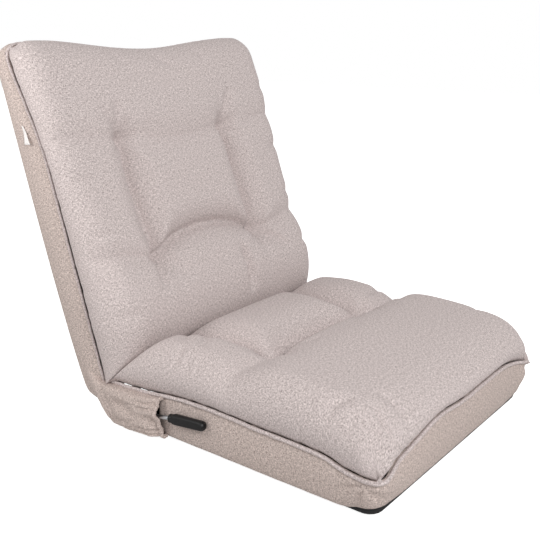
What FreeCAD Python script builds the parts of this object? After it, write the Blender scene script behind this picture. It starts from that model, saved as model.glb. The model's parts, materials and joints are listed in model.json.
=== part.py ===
"""A folding floor chair: a quilted seat and a quilted back on two bent steel tubes, joined by a pair of
toothed hinges that a hand lever at the sitter's right side releases.

All sizes are in millimetres. X runs to the sitter's left, the sitter faces -Y and Z is up. The origin is on
the floor, under the middle of the hinge axis.
"""
import FreeCAD, Part
import math
import os

import Sketcher

V = FreeCAD.Vector
os.makedirs("parts", exist_ok=True)
doc = FreeCAD.newDocument("floor_chair")
sheet = doc.addObject("Spreadsheet::Sheet", "sizes")

SIZES = [
    ("seat_width", 560, "across the seat's side panels"),
    ("seat_front", 612, "from the hinge axis forward to the front seam"),
    ("seat_seam_front", 93, "height of the top seam at the front"),
    ("seat_seam_rear", 88, "height of the top seam at the rear"),
    ("seat_corner", 42, "radius of the front corners, seen from above"),
    ("seat_crest", 176, "height of the front roll's crest"),
    ("seat_lobe", 168, "height of the rear lobes"),
    ("seat_tuft_height", 138, "height of the sewn tufts"),
    ("seat_tuft_ahead", 317, "from the hinge axis forward to the tufts"),
    ("tuft_side", 148, "from the middle plane out to the tufts"),
    ("axis_height", 48, "height of the hinge axis"),
    ("back_lean", 76.47, "angle of the back above the horizontal at rest"),
    ("back_height", 658, "from the hinge axis up to the top seam"),
    ("back_wider", 8, "how much wider the back's lower end is than the seat"),
    ("back_flare", 52, "how much wider the back's top is than its lower end"),
    ("back_front", 18, "from the hinge axis forward to the back's front seam"),
    ("back_rear", 48, "from the hinge axis back to the back's rear face"),
    ("back_corner", 46, "radius of the back's top corners"),
    ("panel_start", 54, "from the hinge axis up to the side panels' lower ends"),
    ("lumbar_crown", 134, "the lumbar roll ahead of the hinge axis"),
    ("waist_crown", 108, "the back pad ahead of the axis at the lower tufts"),
    ("chest_crown", 88, "the back pad ahead of the axis between the tufts"),
    ("head_crown", 72, "the back pad ahead of the axis near the top"),
    ("low_tuft_up", 228, "from the hinge axis up to the lower tufts"),
    ("high_tuft_up", 461, "from the hinge axis up to the upper tufts"),
    ("back_tuft_low_depth", 66, "the lower tufts ahead of the hinge axis"),
    ("back_tuft_high_depth", 50, "the upper tufts ahead of the hinge axis"),
    ("cloth", 2, "thickness of the base cloth and rear panel"),
    ("panel", 4, "thickness of the lined side panels"),
    ("welt", 6, "diameter of the piping in the seams"),
    ("soft_gap", 0.5, "gap between two soft pieces"),
    ("tube", 22, "outer diameter of the frame tubes"),
    ("tube_wall", 1.5, "wall of the frame tubes"),
    ("tube_inset", 30, "from the side panels' outer faces in to the frame tubes' centres"),
    ("tube_bend", 60, "bend radius of the frame tubes"),
    ("seat_tube_height", 14, "height of the seat tube's centre"),
    ("seat_tube_front", 574, "from the hinge axis forward to the seat tube's front run"),
    ("seat_tube_rear", 34, "from the hinge axis forward to the seat tube's ends"),
    ("back_tube_start", 42, "from the hinge axis up to the back tube's ends"),
    ("back_tube_top", 618, "from the hinge axis up to the back tube's top run"),
    ("cross_bar", 16, "diameter of the cross bars"),
    ("seat_bar_front", 420, "from the hinge axis forward to the front cross bar"),
    ("seat_bar_rear", 200, "from the hinge axis forward to the rear cross bar"),
    ("back_bar_low", 150, "from the hinge axis up to the lower cross bar"),
    ("back_bar_high", 400, "from the hinge axis up to the upper cross bar"),
    ("plate", 3, "thickness of the seat's hinge plates"),
    ("ratchet_plate", 5, "thickness of the toothed plates and pawls"),
    ("plate_gap", 0.4, "side gap between the hinge's layers"),
    ("plate_foot", 182, "from the hinge axis forward to the plates' front bolts"),
    ("plate_heel", 44, "from the hinge axis forward to the plates' rear corners"),
    ("plate_bolt_rear", 62, "from the hinge axis forward to the plates' rear bolts"),
    ("plate_foot_round", 10, "radius of the plates' lower corners"),
    ("plate_head_round", 24, "radius of the plates around the hinge axis"),
    ("arm_root", 20, "radius of the toothed plates' arms around the hinge axis"),
    ("pivot_bolt", 10, "diameter of the hinge bolts"),
    ("pivot_bush", 14, "outer diameter of the hinge bushes"),
    ("running_gap", 0.05, "radial gap of what turns in a hole"),
    ("tooth_tip", 34, "radius of the toothed sector's tips"),
    ("tooth_root", 31.2, "radius of the toothed sector's notches"),
    ("tooth_pitch", 6.375, "angle from one notch to the next"),
    ("notches", 16, "number of notches in the sector"),
    ("notch_mouth", 2.5, "width of a notch at the tips"),
    ("notch_floor", 0.7, "width of a notch at its root"),
    ("notch_first", 212.25, "angle of the first notch at rest"),
    ("land_end", 152, "angle where the smooth land for folding ends"),
    ("pawl_angle", 225, "angle of the pawls' noses about the hinge axis"),
    ("pawl_clearance", 0.22, "gap round each pawl tooth in its notch"),
    ("pawl_root_gap", 0.5, "gap under each pawl tooth in its notch"),
    ("lever_swing", 5, "angle from the pawls' lock to the lever's rest"),
    ("shaft_ahead", 48, "from the hinge axis forward to the lever shaft"),
    ("shaft_above", 3, "from the hinge axis up to the lever shaft"),
    ("shaft", 10, "diameter of the lever's cross shaft"),
    ("pawl_hub", 20, "diameter of the pawls round the shaft"),
    ("lever_rod", 8, "diameter of the lever rod"),
    ("rod_out", 14.5, "from the side panel's outer face out to the lever rod"),
    ("rod_bend_ahead", 168, "from the hinge axis forward to the rod's bend"),
    ("rod_bend_height", 49.5, "height of the rod's bend"),
    ("rod_bend_round", 40, "radius of the rod's bend"),
    ("grip_start_ahead", 201, "from the hinge axis forward to the grip's inner end"),
    ("grip_start_height", 56, "height of the grip's inner end"),
    ("grip_end_ahead", 284, "from the hinge axis forward to the grip's tip"),
    ("grip_end_height", 65, "height of the grip's tip"),
    ("grip_thick", 20, "the grip's height"),
    ("grip_flat", 14, "the grip's width between its flats"),
    ("fit", 0.05, "gap of a pressed or glued fit"),
    ("bolt_head", 5, "height of the bolt heads"),
    ("frame_bolt", 6, "diameter of the bolts through the tubes"),
    ("spring_strip", 1.2, "thickness of the spiral springs' strip"),
    ("spring_width", 6, "width of the spiral springs' strip"),
    ("spring_inner", 8, "inner radius of the spiral springs"),
    ("spring_pitch", 3.4, "gap from one turn of the spiral to the next"),
    ("coil_wire", 1.6, "wire of the lever's return spring"),
    ("coil_turns", 4, "turns of the lever's return spring"),
    ("spring_peg", 4, "diameter of the pegs that hold the spiral springs' outer ends"),
    ("sleeve_out", 23, "from the side panel's outer face out to the hinge sleeves"),
    ("sleeve_front", 183, "from the hinge axis forward to the sleeves' open ends"),
    ("sleeve_top", 81, "height of the sleeves' upper edge"),
    ("sleeve_low_front", 22, "height of the sleeves' lower edge at the front"),
    ("sleeve_low_rear", 9, "height of the sleeves' lower edge near the hinge"),
    ("sleeve_cloth", 2, "thickness of the sleeves"),
    ("binding", 9, "width of the elastic edge on the sleeves"),
    ("binding_thick", 4, "thickness of the elastic edge"),
    ("tag_length", 24, "length of the blank side tag"),
    ("tag_width", 13, "width of the blank side tag"),
    ("tag_up", 566, "from the hinge axis up to the side tag"),
]
for row, (alias, value, note) in enumerate(SIZES, start=1):
    sheet.set(f"A{row}", alias)
    sheet.set(f"B{row}", str(value))
    sheet.setAlias(f"B{row}", alias)
    sheet.set(f"C{row}", note)
doc.recompute()


def size(alias):
    """The value of one named size."""
    return float(getattr(sheet, alias))


finished = []


def finish(obj, label):
    """Give a sub-part its own name and list it for export."""
    obj.Label = label
    finished.append(obj)
    return obj


def shaped(label, shape):
    """A sub-part whose form is made by Part's own functions from the sheet's sizes."""
    obj = doc.addObject("Part::Feature", label)
    obj.Shape = shape
    return finish(obj, label)


def seat_half():
    """Half the width across the seat's side panels, which the frame, hinges, lever and sleeves follow."""
    return size("seat_width") / 2


def tube_side():
    """From the middle plane out to the frame tubes."""
    return seat_half() - size("tube_inset")


def rod_side():
    """From the middle plane out to the lever rod."""
    return seat_half() + size("rod_out")


def sleeve_side():
    """From the middle plane out to the hinge sleeves' outer faces."""
    return seat_half() + size("sleeve_out")


TUBE_SIDE = "(sizes.seat_width / 2 - sizes.tube_inset)"
SIDES = (("left", 1), ("right", -1))
axis_point = V(0, 0, size("axis_height"))
lean_turn = FreeCAD.Rotation(V(1, 0, 0), size("back_lean") - 90)
back_place = FreeCAD.Placement(axis_point, lean_turn)


def to_back(shape):
    """Carry a shape from the upright frame of the back, where Z runs up it, to its lean."""
    moved = shape.copy()
    moved.Placement = back_place.multiply(moved.Placement)
    return moved


def rounded_outline(circles):
    """The tangent outline round a list of (centre, radius) pairs that go anticlockwise, as edges in XY."""
    tangents = []
    for (here, r_here), (there, r_there) in zip(circles, circles[1:] + circles[:1]):
        run = V(there[0] - here[0], there[1] - here[1], 0)
        along = V(run).normalize()
        outward = V(along.y, -along.x, 0)
        rise = (r_here - r_there) / run.Length
        normal = outward * math.sqrt(1 - rise * rise) + along * rise
        leave = V(here[0], here[1], 0) + normal * r_here
        reach = V(there[0], there[1], 0) + normal * r_there
        tangents.append((leave, reach, normal))
    edges = []
    for index, (centre, radius) in enumerate(circles):
        arrive = tangents[index - 1]
        depart = tangents[index]
        edges.append(Part.LineSegment(arrive[0], arrive[1]))
        middle = (arrive[2] + depart[2]).normalize()
        top = V(centre[0], centre[1], 0) + middle * radius
        edges.append(Part.Arc(arrive[1], top, depart[0]))
    return edges


def outline_face(circles):
    """A flat face inside the tangent outline of some circles."""
    return Part.Face(Part.Wire([edge.toShape() for edge in rounded_outline(circles)]))


def plane_of(body, role):
    """One of a body's own origin planes."""
    return next(feature for feature in body.Origin.OriginFeatures if feature.Role == role)


def sketch_on(body, name, role, offset="0"):
    """A sketch on an origin plane of its body, moved along the plane's normal."""
    sketch = body.newObject("Sketcher::SketchObject", name)
    sketch.AttachmentSupport = (plane_of(body, role), [""])
    sketch.MapMode = "FlatFace"
    sketch.setExpression("AttachmentOffset.Base.z", offset)
    return sketch


def round_hole(sketch, centre, diameter):
    """A circle in a sketch, with its radius bound to a named size."""
    index = sketch.addGeometry(Part.Circle(V(centre[0], centre[1], 0), V(0, 0, 1), 5), False)
    rule = sketch.addConstraint(Sketcher.Constraint("Radius", index, 5))
    sketch.setExpression(f"Constraints[{rule}]", diameter)


def layer_start(side, inner, thick):
    """Where a plate of one hinge layer starts along X, as an expression, on either side of the chair."""
    return f"{inner}" if side > 0 else f"-({inner}) - ({thick})"


def plate_body(label, edges, inner, thick, side, holes):
    """A flat plate across the X axis, with round holes."""
    body = doc.addObject("PartDesign::Body", label)
    start = layer_start(side, inner, thick)
    outline = sketch_on(body, label + "_outline", "YZ_Plane", start)
    outline.addGeometry(edges, False)
    pad = body.newObject("PartDesign::Pad", label + "_pad")
    pad.Profile = outline
    pad.setExpression("Length", thick)
    doc.recompute()
    if holes:
        bores = sketch_on(body, label + "_bores", "YZ_Plane", start)
        for centre, radius in holes:
            round_hole(bores, centre, radius)
        cut = body.newObject("PartDesign::Pocket", label + "_cut")
        cut.Profile = bores
        cut.setExpression("Length", thick)
        cut.Reversed = True
        doc.recompute()
        if cut.Shape.Volume > pad.Shape.Volume - 1:
            cut.Reversed = False
    return body


def rod_along_x(label, diameter, start, length, ahead, height):
    """A round bar along X. The sizes are expressions on the sheet."""
    bar = doc.addObject("Part::Cylinder", label)
    bar.setExpression("Radius", f"({diameter}) / 2")
    bar.setExpression("Height", length)
    bar.Placement = FreeCAD.Placement(V(), FreeCAD.Rotation(V(0, 1, 0), 90))
    bar.setExpression("Placement.Base.x", start)
    bar.setExpression("Placement.Base.y", ahead)
    bar.setExpression("Placement.Base.z", height)
    return bar


def bent_tube(label, plane, offset, path, start, wall):
    """A tube on a flat path of straight runs and bends, hollow where it has a wall."""
    body = doc.addObject("PartDesign::Body", label)
    spine = sketch_on(body, label + "_path", plane, offset)
    spine.addGeometry(path, False)
    profile = sketch_on(body, label + "_section", *start["plane"])
    round_hole(profile, start["centre"], f"sizes.{start['diameter']} / 2")
    if wall:
        round_hole(profile, start["centre"], f"sizes.{start['diameter']} / 2 - sizes.{wall}")
    doc.recompute()
    pipe = body.newObject("PartDesign::AdditivePipe", label + "_pipe")
    pipe.Profile = profile
    pipe.Spine = spine
    doc.recompute()
    return body


def bolt_holes(body, places):
    """Bore a tube's two side runs straight through, from the middle plane outwards both ways."""
    sketch = sketch_on(body, body.Name + "_bolt_marks", "YZ_Plane")
    for place in places:
        round_hole(sketch, place, "sizes.frame_bolt / 2 + sizes.fit")
    cut = body.newObject("PartDesign::Pocket", body.Name + "_bolt_holes")
    cut.Profile = sketch
    cut.setExpression("Length", f"2 * ({TUBE_SIDE} + sizes.tube)")
    cut.Midplane = True
    doc.recompute()


def arm_bolts():
    """How far up the back the toothed plates' arms are bolted to its tube."""
    far = size("back_bar_low") - size("cross_bar")
    return (far * 0.45, far)


def u_path(side, near, far, bend):
    """A U of two straight runs and a crossing run, starting and ending at the near end."""
    turn = math.copysign(bend, far - near)
    quarter = bend * (1 - math.sqrt(0.5))
    deep = math.copysign(quarter, far - near)
    return [
        Part.LineSegment(V(side, near, 0), V(side, far - turn, 0)),
        Part.Arc(V(side, far - turn, 0), V(side - quarter, far - deep, 0), V(side - bend, far, 0)),
        Part.LineSegment(V(side - bend, far, 0), V(bend - side, far, 0)),
        Part.Arc(V(bend - side, far, 0), V(quarter - side, far - deep, 0), V(-side, far - turn, 0)),
        Part.LineSegment(V(-side, far - turn, 0), V(-side, near, 0)),
    ]


# The steel frame of the seat: a bent tube that lies just above the floor, with two cross bars.
def seat_frame():
    path = u_path(tube_side(), -size("seat_tube_rear"), -size("seat_tube_front"), size("tube_bend"))
    start = {
        "plane": ("XZ_Plane", "sizes.seat_tube_rear"),
        "centre": (tube_side(), size("seat_tube_height")),
        "diameter": "tube",
    }
    body = bent_tube("seat_frame_tube", "XY_Plane", "sizes.seat_tube_height", path, start, "tube_wall")
    height = size("seat_tube_height")
    bolt_holes(body, [(-size("plate_foot"), height), (-size("plate_bolt_rear"), height)])
    finish(body, "seat_frame_tube")
    for name, ahead in (("front", "seat_bar_front"), ("rear", "seat_bar_rear")):
        bar = rod_along_x(
            f"seat_bar_{name}", "sizes.cross_bar", f"-{TUBE_SIDE}", f"2 * {TUBE_SIDE}",
            f"-sizes.{ahead}", "sizes.seat_tube_height",
        )
        cope(bar, f"seat_cross_bar_{name}", V(0, -1, 0), V(0, 0, size("seat_tube_height")), V(0, 0, 0))


def cope(bar, label, direction, centre, start):
    """Cut a cross bar's ends to the round of the two side tubes that it is welded to."""
    long_side = size("back_height")
    radius = size("tube") / 2 + size("fit") / 5
    cutters = []
    for _, side in SIDES:
        base = V(side * tube_side(), centre.y, centre.z) + start
        cutters.append(Part.makeCylinder(radius, long_side, base, direction))
    doc.recompute()
    shape = bar.Shape.cut(Part.makeCompound(cutters))
    middle = max(shape.Solids, key=lambda solid: solid.Volume)
    doc.removeObject(bar.Name)
    return shaped(label, middle)


# The steel frame of the back: an upside-down U with two cross bars, made upright and then leaned.
def back_frame():
    path = u_path(tube_side(), size("back_tube_start"), size("back_tube_top"), size("tube_bend"))
    start = {
        "plane": ("XY_Plane", "sizes.back_tube_start"),
        "centre": (tube_side(), 0),
        "diameter": "tube",
    }
    body = bent_tube("back_frame_tube", "XZ_Plane", "0", path, start, "tube_wall")
    bolt_holes(body, [(0, up) for up in arm_bolts()])
    body.Placement = back_place
    finish(body, "back_frame_tube")
    for name, height in (("low", "back_bar_low"), ("high", "back_bar_high")):
        bar = rod_along_x(
            f"back_bar_{name}", "sizes.cross_bar", f"-{TUBE_SIDE}", f"2 * {TUBE_SIDE}",
            "0", f"sizes.{height}",
        )
        piece = cope(bar, f"back_cross_bar_{name}", V(0, 0, 1), V(0, 0, 0), V(0, 0, 0))
        piece.Placement = back_place


def layer(name):
    """The inner face of each layer of the hinge, counted outwards from the frame tubes."""
    inner = f"{TUBE_SIDE} + sizes.tube / 2 + sizes.fit"
    tooth = f"{inner} + sizes.plate + sizes.plate_gap"
    outer = f"{tooth} + sizes.ratchet_plate + sizes.plate_gap"
    spring = f"{outer} + sizes.plate + sizes.plate_gap"
    head = f"{spring} + sizes.spring_width + sizes.plate_gap"
    return {"inner": inner, "tooth": tooth, "outer": outer, "spring": spring, "head": head}[name]


def layer_value(name):
    """The same place as a number."""
    inner = tube_side() + size("tube") / 2 + size("fit")
    tooth = inner + size("plate") + size("plate_gap")
    outer = tooth + size("ratchet_plate") + size("plate_gap")
    spring = outer + size("plate") + size("plate_gap")
    head = spring + size("spring_width") + size("plate_gap")
    return {"inner": inner, "tooth": tooth, "outer": outer, "spring": spring, "head": head}[name]


def shaft_place():
    """The lever shaft's centre in the YZ plane."""
    return (-size("shaft_ahead"), size("axis_height") + size("shaft_above"))


# The two pairs of steel hinge plates on the seat's tubes. The toothed plate of the back turns between them.
def seat_hinge_plates():
    axis_centre = (0, size("axis_height"))
    foot = (-size("plate_foot"), size("seat_tube_height"))
    heel = (-size("plate_heel"), size("seat_tube_height"))
    rear_bolt = (-size("plate_bolt_rear"), size("seat_tube_height"))
    corner = size("plate_foot_round")
    circles = [
        (foot, corner),
        (heel, corner),
        (axis_centre, size("plate_head_round")),
        (shaft_place(), size("pawl_hub") / 2 + size("plate")),
    ]
    holes = [
        (axis_centre, "sizes.pivot_bolt / 2 + sizes.running_gap"),
        (shaft_place(), "sizes.shaft / 2 + sizes.running_gap"),
        (foot, "sizes.frame_bolt / 2 + sizes.fit"),
        (rear_bolt, "sizes.frame_bolt / 2 + sizes.fit"),
    ]
    for name, side in SIDES:
        for where in ("inner", "outer"):
            label = f"seat_hinge_plate_{where}_{name}"
            body = plate_body(label, rounded_outline(circles), layer(where), "sizes.plate", side, holes)
            finish(body, label)


def notch_points(angle, gap, root_gap, centre):
    """The four corners of one notch, or of the pawl tooth that fits it with a gap, about a centre."""
    turn = math.radians(angle)
    outward = V(math.cos(turn), math.sin(turn), 0)
    across = V(-math.sin(turn), math.cos(turn), 0)
    over = size("tooth_tip") + 1
    slope = (size("notch_mouth") - size("notch_floor")) / 2 / (size("tooth_tip") - size("tooth_root"))
    floor = size("tooth_root") + root_gap
    half_floor = size("notch_floor") / 2 + slope * root_gap - gap
    half_over = size("notch_mouth") / 2 + slope - gap
    return [
        centre + outward * floor - across * half_floor,
        centre + outward * over - across * half_over,
        centre + outward * over + across * half_over,
        centre + outward * floor + across * half_floor,
    ]


def closed(points):
    """Straight edges round a list of points."""
    return [Part.LineSegment(a, b) for a, b in zip(points, points[1:] + points[:1])]


# The toothed plates of the back: a disc with a ring of notches, a smooth land that lets the back fold, and
# an arm that is bolted to the back tube. The notches are one pocket repeated round the axis.
def ratchet_plates():
    centre = (0, size("axis_height"))
    lean = math.radians(size("back_lean"))
    reach = size("back_bar_low") - size("cross_bar")
    arm_end = (reach * math.cos(lean), centre[1] + reach * math.sin(lean))
    arm = [(centre, size("arm_root")), (arm_end, size("tube") / 2)]
    for name, side in SIDES:
        label = f"ratchet_plate_{name}"
        body = doc.addObject("PartDesign::Body", label)
        start = layer_start(side, layer("tooth"), "sizes.ratchet_plate")
        disc = sketch_on(body, label + "_disc", "YZ_Plane", start)
        round_hole(disc, centre, "sizes.tooth_tip")
        blank = body.newObject("PartDesign::Pad", label + "_blank")
        blank.Profile = disc
        blank.setExpression("Length", "sizes.ratchet_plate")
        arm_sketch = sketch_on(body, label + "_arm", "YZ_Plane", start)
        arm_sketch.addGeometry(rounded_outline(arm), False)
        arm_pad = body.newObject("PartDesign::Pad", label + "_arm_pad")
        arm_pad.Profile = arm_sketch
        arm_pad.setExpression("Length", "sizes.ratchet_plate")
        doc.recompute()
        land = sketch_on(body, label + "_land", "YZ_Plane", start)
        land.addGeometry(land_edges(), False)
        land_cut = pocket_through(body, label + "_land_cut", land, arm_pad)
        notch = sketch_on(body, label + "_notch", "YZ_Plane", start)
        notch.setExpression("AttachmentOffset.Base.y", "sizes.axis_height")
        notch.addGeometry(closed(notch_points(size("notch_first"), 0, 0, V())), False)
        notch_cut = pocket_through(body, label + "_notch_cut", notch, land_cut)
        ring = body.newObject("PartDesign::PolarPattern", label + "_teeth")
        ring.Originals = [notch_cut]
        ring.Axis = (notch, ["N_Axis"])
        ring.Occurrences = int(size("notches"))
        ring.setExpression("Angle", "sizes.tooth_pitch * (sizes.notches - 1)")
        body.Tip = ring
        doc.recompute()
        aim_pattern(ring)
        bores = sketch_on(body, label + "_bores", "YZ_Plane", start)
        round_hole(bores, centre, "sizes.pivot_bush / 2 + sizes.running_gap")
        for up in arm_bolts():
            spot = (up * math.cos(lean), centre[1] + up * math.sin(lean))
            round_hole(bores, spot, "sizes.frame_bolt / 2 + sizes.fit")
        pocket_through(body, label + "_bore_cut", bores, ring)
        finish(body, label)


def land_edges():
    """The stretch of rim between the fold limit and the first notch, cut down to the notches' depth."""
    centre = V(0, size("axis_height"), 0)
    first = math.radians(size("land_end"))
    last = math.radians(size("notch_first") - size("tooth_pitch") / 2)

    def at(radius, angle):
        return centre + V(math.cos(angle), math.sin(angle), 0) * radius

    inner = size("tooth_root")
    outer = size("tooth_tip") + 2
    middle = (first + last) / 2
    return [
        Part.Arc(at(inner, first), at(inner, middle), at(inner, last)),
        Part.LineSegment(at(inner, last), at(outer, last)),
        Part.Arc(at(outer, last), at(outer, middle), at(outer, first)),
        Part.LineSegment(at(outer, first), at(inner, first)),
    ]


def pocket_through(body, name, sketch, before):
    """Cut a sketch through a plate, on whichever side of the sketch the plate lies."""
    cut = body.newObject("PartDesign::Pocket", name)
    cut.Profile = sketch
    cut.setExpression("Length", "sizes.ratchet_plate")
    cut.Reversed = True
    doc.recompute()
    if cut.Shape.Volume > before.Shape.Volume - 0.5:
        cut.Reversed = False
        doc.recompute()
    return cut


def aim_pattern(ring):
    """Turn the pattern of notches the right way: forward from the first notch, under the axis."""
    middle = math.radians(size("notch_first") + size("tooth_pitch") * (size("notches") - 1) / 2)
    reach = (size("tooth_tip") + size("tooth_root")) / 2
    side = ring.Shape.BoundBox.Center.x
    steps = round((math.degrees(middle) - size("notch_first")) / size("tooth_pitch"))
    angle = math.radians(size("notch_first") + steps * size("tooth_pitch"))
    probe = V(side, reach * math.cos(angle), size("axis_height") + reach * math.sin(angle))
    if ring.Shape.isInside(probe, 0.01, False):
        ring.Reversed = True
        doc.recompute()


# The pawls: a hub on the cross shaft and a strut that ends in three teeth, which lock the toothed plates.
def pawls():
    nose_angle = math.radians(size("pawl_angle"))
    centre = V(0, size("axis_height"), 0)
    nose = centre + V(math.cos(nose_angle), math.sin(nose_angle), 0) * (size("tooth_tip") + 5)
    hub = shaft_place()
    neck = [(hub, size("pawl_hub") / 2), ((nose.x, nose.y), 4.4)]
    if nose.y > hub[1]:
        neck.reverse()
    clear = Part.Face(Part.Wire(Part.Circle(centre, V(0, 0, 1), size("tooth_tip") + 0.4).toShape()))
    bore = Part.Circle(V(hub[0], hub[1], 0), V(0, 0, 1), size("shaft") / 2 + size("fit"))
    for name, side in SIDES:
        thick = V(0, 0, size("ratchet_plate"))
        plate = outline_face(neck).cut(clear).cut(Part.Face(Part.Wire(bore.toShape()))).extrude(thick)
        teeth = []
        for step in (-1, 0, 1):
            angle = size("pawl_angle") + step * size("tooth_pitch")
            corners = notch_points(angle, size("pawl_clearance"), size("pawl_root_gap"), centre)
            teeth.append(Part.Face(Part.Wire([edge.toShape() for edge in closed(corners)])).extrude(thick))
        plate = solid_of(plate.fuse(teeth))
        plate = upright(plate, side, layer_value("tooth"), size("ratchet_plate"))
        plate.rotate(V(0, hub[0], hub[1]), V(-1, 0, 0), size("lever_swing"))
        shaped(f"pawl_{name}", plate)


def upright(shape, side, inner, thick):
    """Stand a flat shape, drawn in XY and raised along Z, into the YZ plane at a hinge layer."""
    matrix = FreeCAD.Matrix(0, 0, 1, 0, 1, 0, 0, 0, 0, 1, 0, 0, 0, 0, 0, 1)
    stood = shape.copy()
    stood.transformShape(matrix)
    start = inner if side > 0 else -inner - thick
    stood.translate(V(start, 0, 0))
    return stood


# The lever: a cross shaft between the pawls, a bent rod at the sitter's right and a moulded grip.
def lever():
    hub = shaft_place()
    shaft_left = layer_value("outer") + size("plate") + 3
    shaft_right = rod_side() + size("lever_rod") / 2
    shaft_bar = rod_along_x(
        "lever_cross_shaft", "sizes.shaft", f"-{shaft_right}", f"{shaft_left + shaft_right}",
        "-sizes.shaft_ahead", "sizes.axis_height + sizes.shaft_above",
    )
    finish(shaft_bar, "lever_cross_shaft")
    start = V(-rod_side(), hub[0], hub[1])
    bend = V(-rod_side(), -size("rod_bend_ahead"), size("rod_bend_height"))
    grip_in = V(-rod_side(), -size("grip_start_ahead"), size("grip_start_height"))
    grip_out = V(-rod_side(), -size("grip_end_ahead"), size("grip_end_height"))
    toward = (grip_out - grip_in).normalize()
    rod_end = grip_in + toward * (grip_out - grip_in).Length * 0.7
    eye = size("shaft") / 2 + size("lever_rod") / 2
    first = start + (bend - start).normalize() * (eye - 1)
    path = filleted_path([first, bend, grip_in, rod_end], size("rod_bend_round"))
    rod = solid_pipe(path, first, bend - start, size("lever_rod") / 2)
    ring = Part.makeCylinder(eye, size("lever_rod"), start - V(size("lever_rod") / 2, 0, 0), V(1, 0, 0))
    hole = Part.makeCylinder(
        size("shaft") / 2 + size("fit"), size("lever_rod") * 2, start - V(size("lever_rod"), 0, 0), V(1, 0, 0)
    )
    shaped("lever_rod", solid_of(ring.fuse(rod).cut(hole)))
    grip_shape(grip_in, grip_out, rod_end)


def filleted_path(points, radius):
    """Straight runs joined by tangent arcs, none larger than its runs allow."""
    edges = []
    here = points[0]
    for before, corner, after in zip(points, points[1:], points[2:]):
        arrive = (corner - before).normalize()
        leave = (after - corner).normalize()
        turn = arrive.getAngle(leave)
        room = min((corner - before).Length, (after - corner).Length) * 0.45
        back = min(radius * math.tan(turn / 2), room)
        arc_in = corner - arrive * back
        arc_out = corner + leave * back
        bisector = (leave - arrive).normalize()
        arc_radius = back / math.tan(turn / 2)
        centre = corner + bisector * (arc_radius / math.cos(turn / 2))
        middle = centre - bisector * arc_radius
        edges.append(Part.LineSegment(here, arc_in).toShape())
        edges.append(Part.Arc(arc_in, middle, arc_out).toShape())
        here = arc_out
    edges.append(Part.LineSegment(here, points[-1]).toShape())
    return Part.Wire(edges)


def solid_pipe(path, start, direction, radius):
    """A round solid along a path."""
    section = Part.Wire(Part.Circle(start, direction, radius).toShape())
    shell = Part.BRepOffsetAPI.MakePipeShell(path)
    shell.add(section)
    shell.setTransitionMode(1)
    shell.build()
    shell.makeSolid()
    return shell.shape()


def grip_shape(inner, outer, rod_end):
    """The grip: a turned body with a collar and a rounded tip, flattened on two sides, bored for the rod."""
    length = (outer - inner).Length
    thick = size("grip_thick") / 2
    collar = thick * 0.8
    tip = thick * 0.92
    slant = math.sqrt(0.5)
    outline = Part.Wire([
        Part.LineSegment(V(0, 0, 0), V(collar - 1, 0, 0)).toShape(),
        Part.Arc(V(collar - 1, 0, 0), V(collar - 0.3, 0, 0.3), V(collar, 0, 1)).toShape(),
        Part.LineSegment(V(collar, 0, 1), V(collar, 0, 7)).toShape(),
        Part.Arc(V(collar, 0, 7), V(collar + 0.9, 0, 9), V(thick, 0, 14)).toShape(),
        Part.LineSegment(V(thick, 0, 14), V(tip, 0, length - tip)).toShape(),
        Part.Arc(V(tip, 0, length - tip), V(tip * slant, 0, length - tip * (1 - slant)), V(0, 0, length)).toShape(),
        Part.LineSegment(V(0, 0, length), V(0, 0, 0)).toShape(),
    ])
    body = Part.Face(outline).revolve(V(0, 0, 0), V(0, 0, 1), 360)
    slab = Part.makeBox(
        size("grip_flat"), thick * 4, length * 2, V(-size("grip_flat") / 2, -thick * 2, -length / 2)
    )
    body = body.common(slab)
    depth = (rod_end - inner).Length + size("fit")
    body = body.cut(Part.makeCylinder(size("lever_rod") / 2 + size("fit"), depth))
    body = solid_of(body)
    along = (outer - inner).normalize()
    tilt = math.degrees(math.asin(along.z))
    body.Placement = FreeCAD.Placement(inner, FreeCAD.Rotation(V(1, 0, 0), 90 - tilt))
    shaped("lever_grip", body)


# The hinge bolts, bushes and nuts. The bolts are keyed to the toothed plates and turn with the back.
def hinge_fasteners():
    centre = V(0, 0, size("axis_height"))
    bolts = []
    bushes = []
    nuts = []
    gap = size("running_gap")
    nut_in = tube_side() + size("tube") / 2 - 9
    for _, side in SIDES:
        along = V(side, 0, 0)
        head_at = centre + along * layer_value("head")
        shank_in = centre + along * nut_in
        shank = Part.makeCylinder(size("pivot_bolt") / 2, layer_value("head") - nut_in, shank_in, along)
        head = Part.makeCylinder(size("pivot_bolt") * 0.9, size("bolt_head"), head_at, along)
        slot = Part.makeBox(
            size("spring_width") + 1, size("spring_strip") + 0.6, size("pivot_bolt") + 2,
            V(-0.5, -(size("spring_strip") + 0.6) / 2, -size("pivot_bolt") / 2 - 1),
        )
        slot.translate(V(side * layer_value("spring") - (0 if side > 0 else size("spring_width")),
                         0, size("axis_height")))
        bolts.append(shank.fuse(head).cut(slot).removeSplitter())
        bush = Part.makeCylinder(
            size("pivot_bush") / 2, size("ratchet_plate"), centre + along * layer_value("tooth"), along
        )
        bore = Part.makeCylinder(
            size("pivot_bolt") / 2 + gap, size("ratchet_plate"), centre + along * layer_value("tooth"), along
        )
        bushes.append(bush.cut(bore))
        nut = hexagon(size("pivot_bolt") * 0.85, 7, shank_in + along * 1.5, along)
        nut_bore = Part.makeCylinder(size("pivot_bolt") / 2 + gap, 12, shank_in, along)
        nuts.append(nut.cut(nut_bore))
    shaped("hinge_bolts", Part.makeCompound(bolts))
    shaped("hinge_bushes", Part.makeCompound(bushes))
    shaped("hinge_nuts", Part.makeCompound(nuts))


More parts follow.
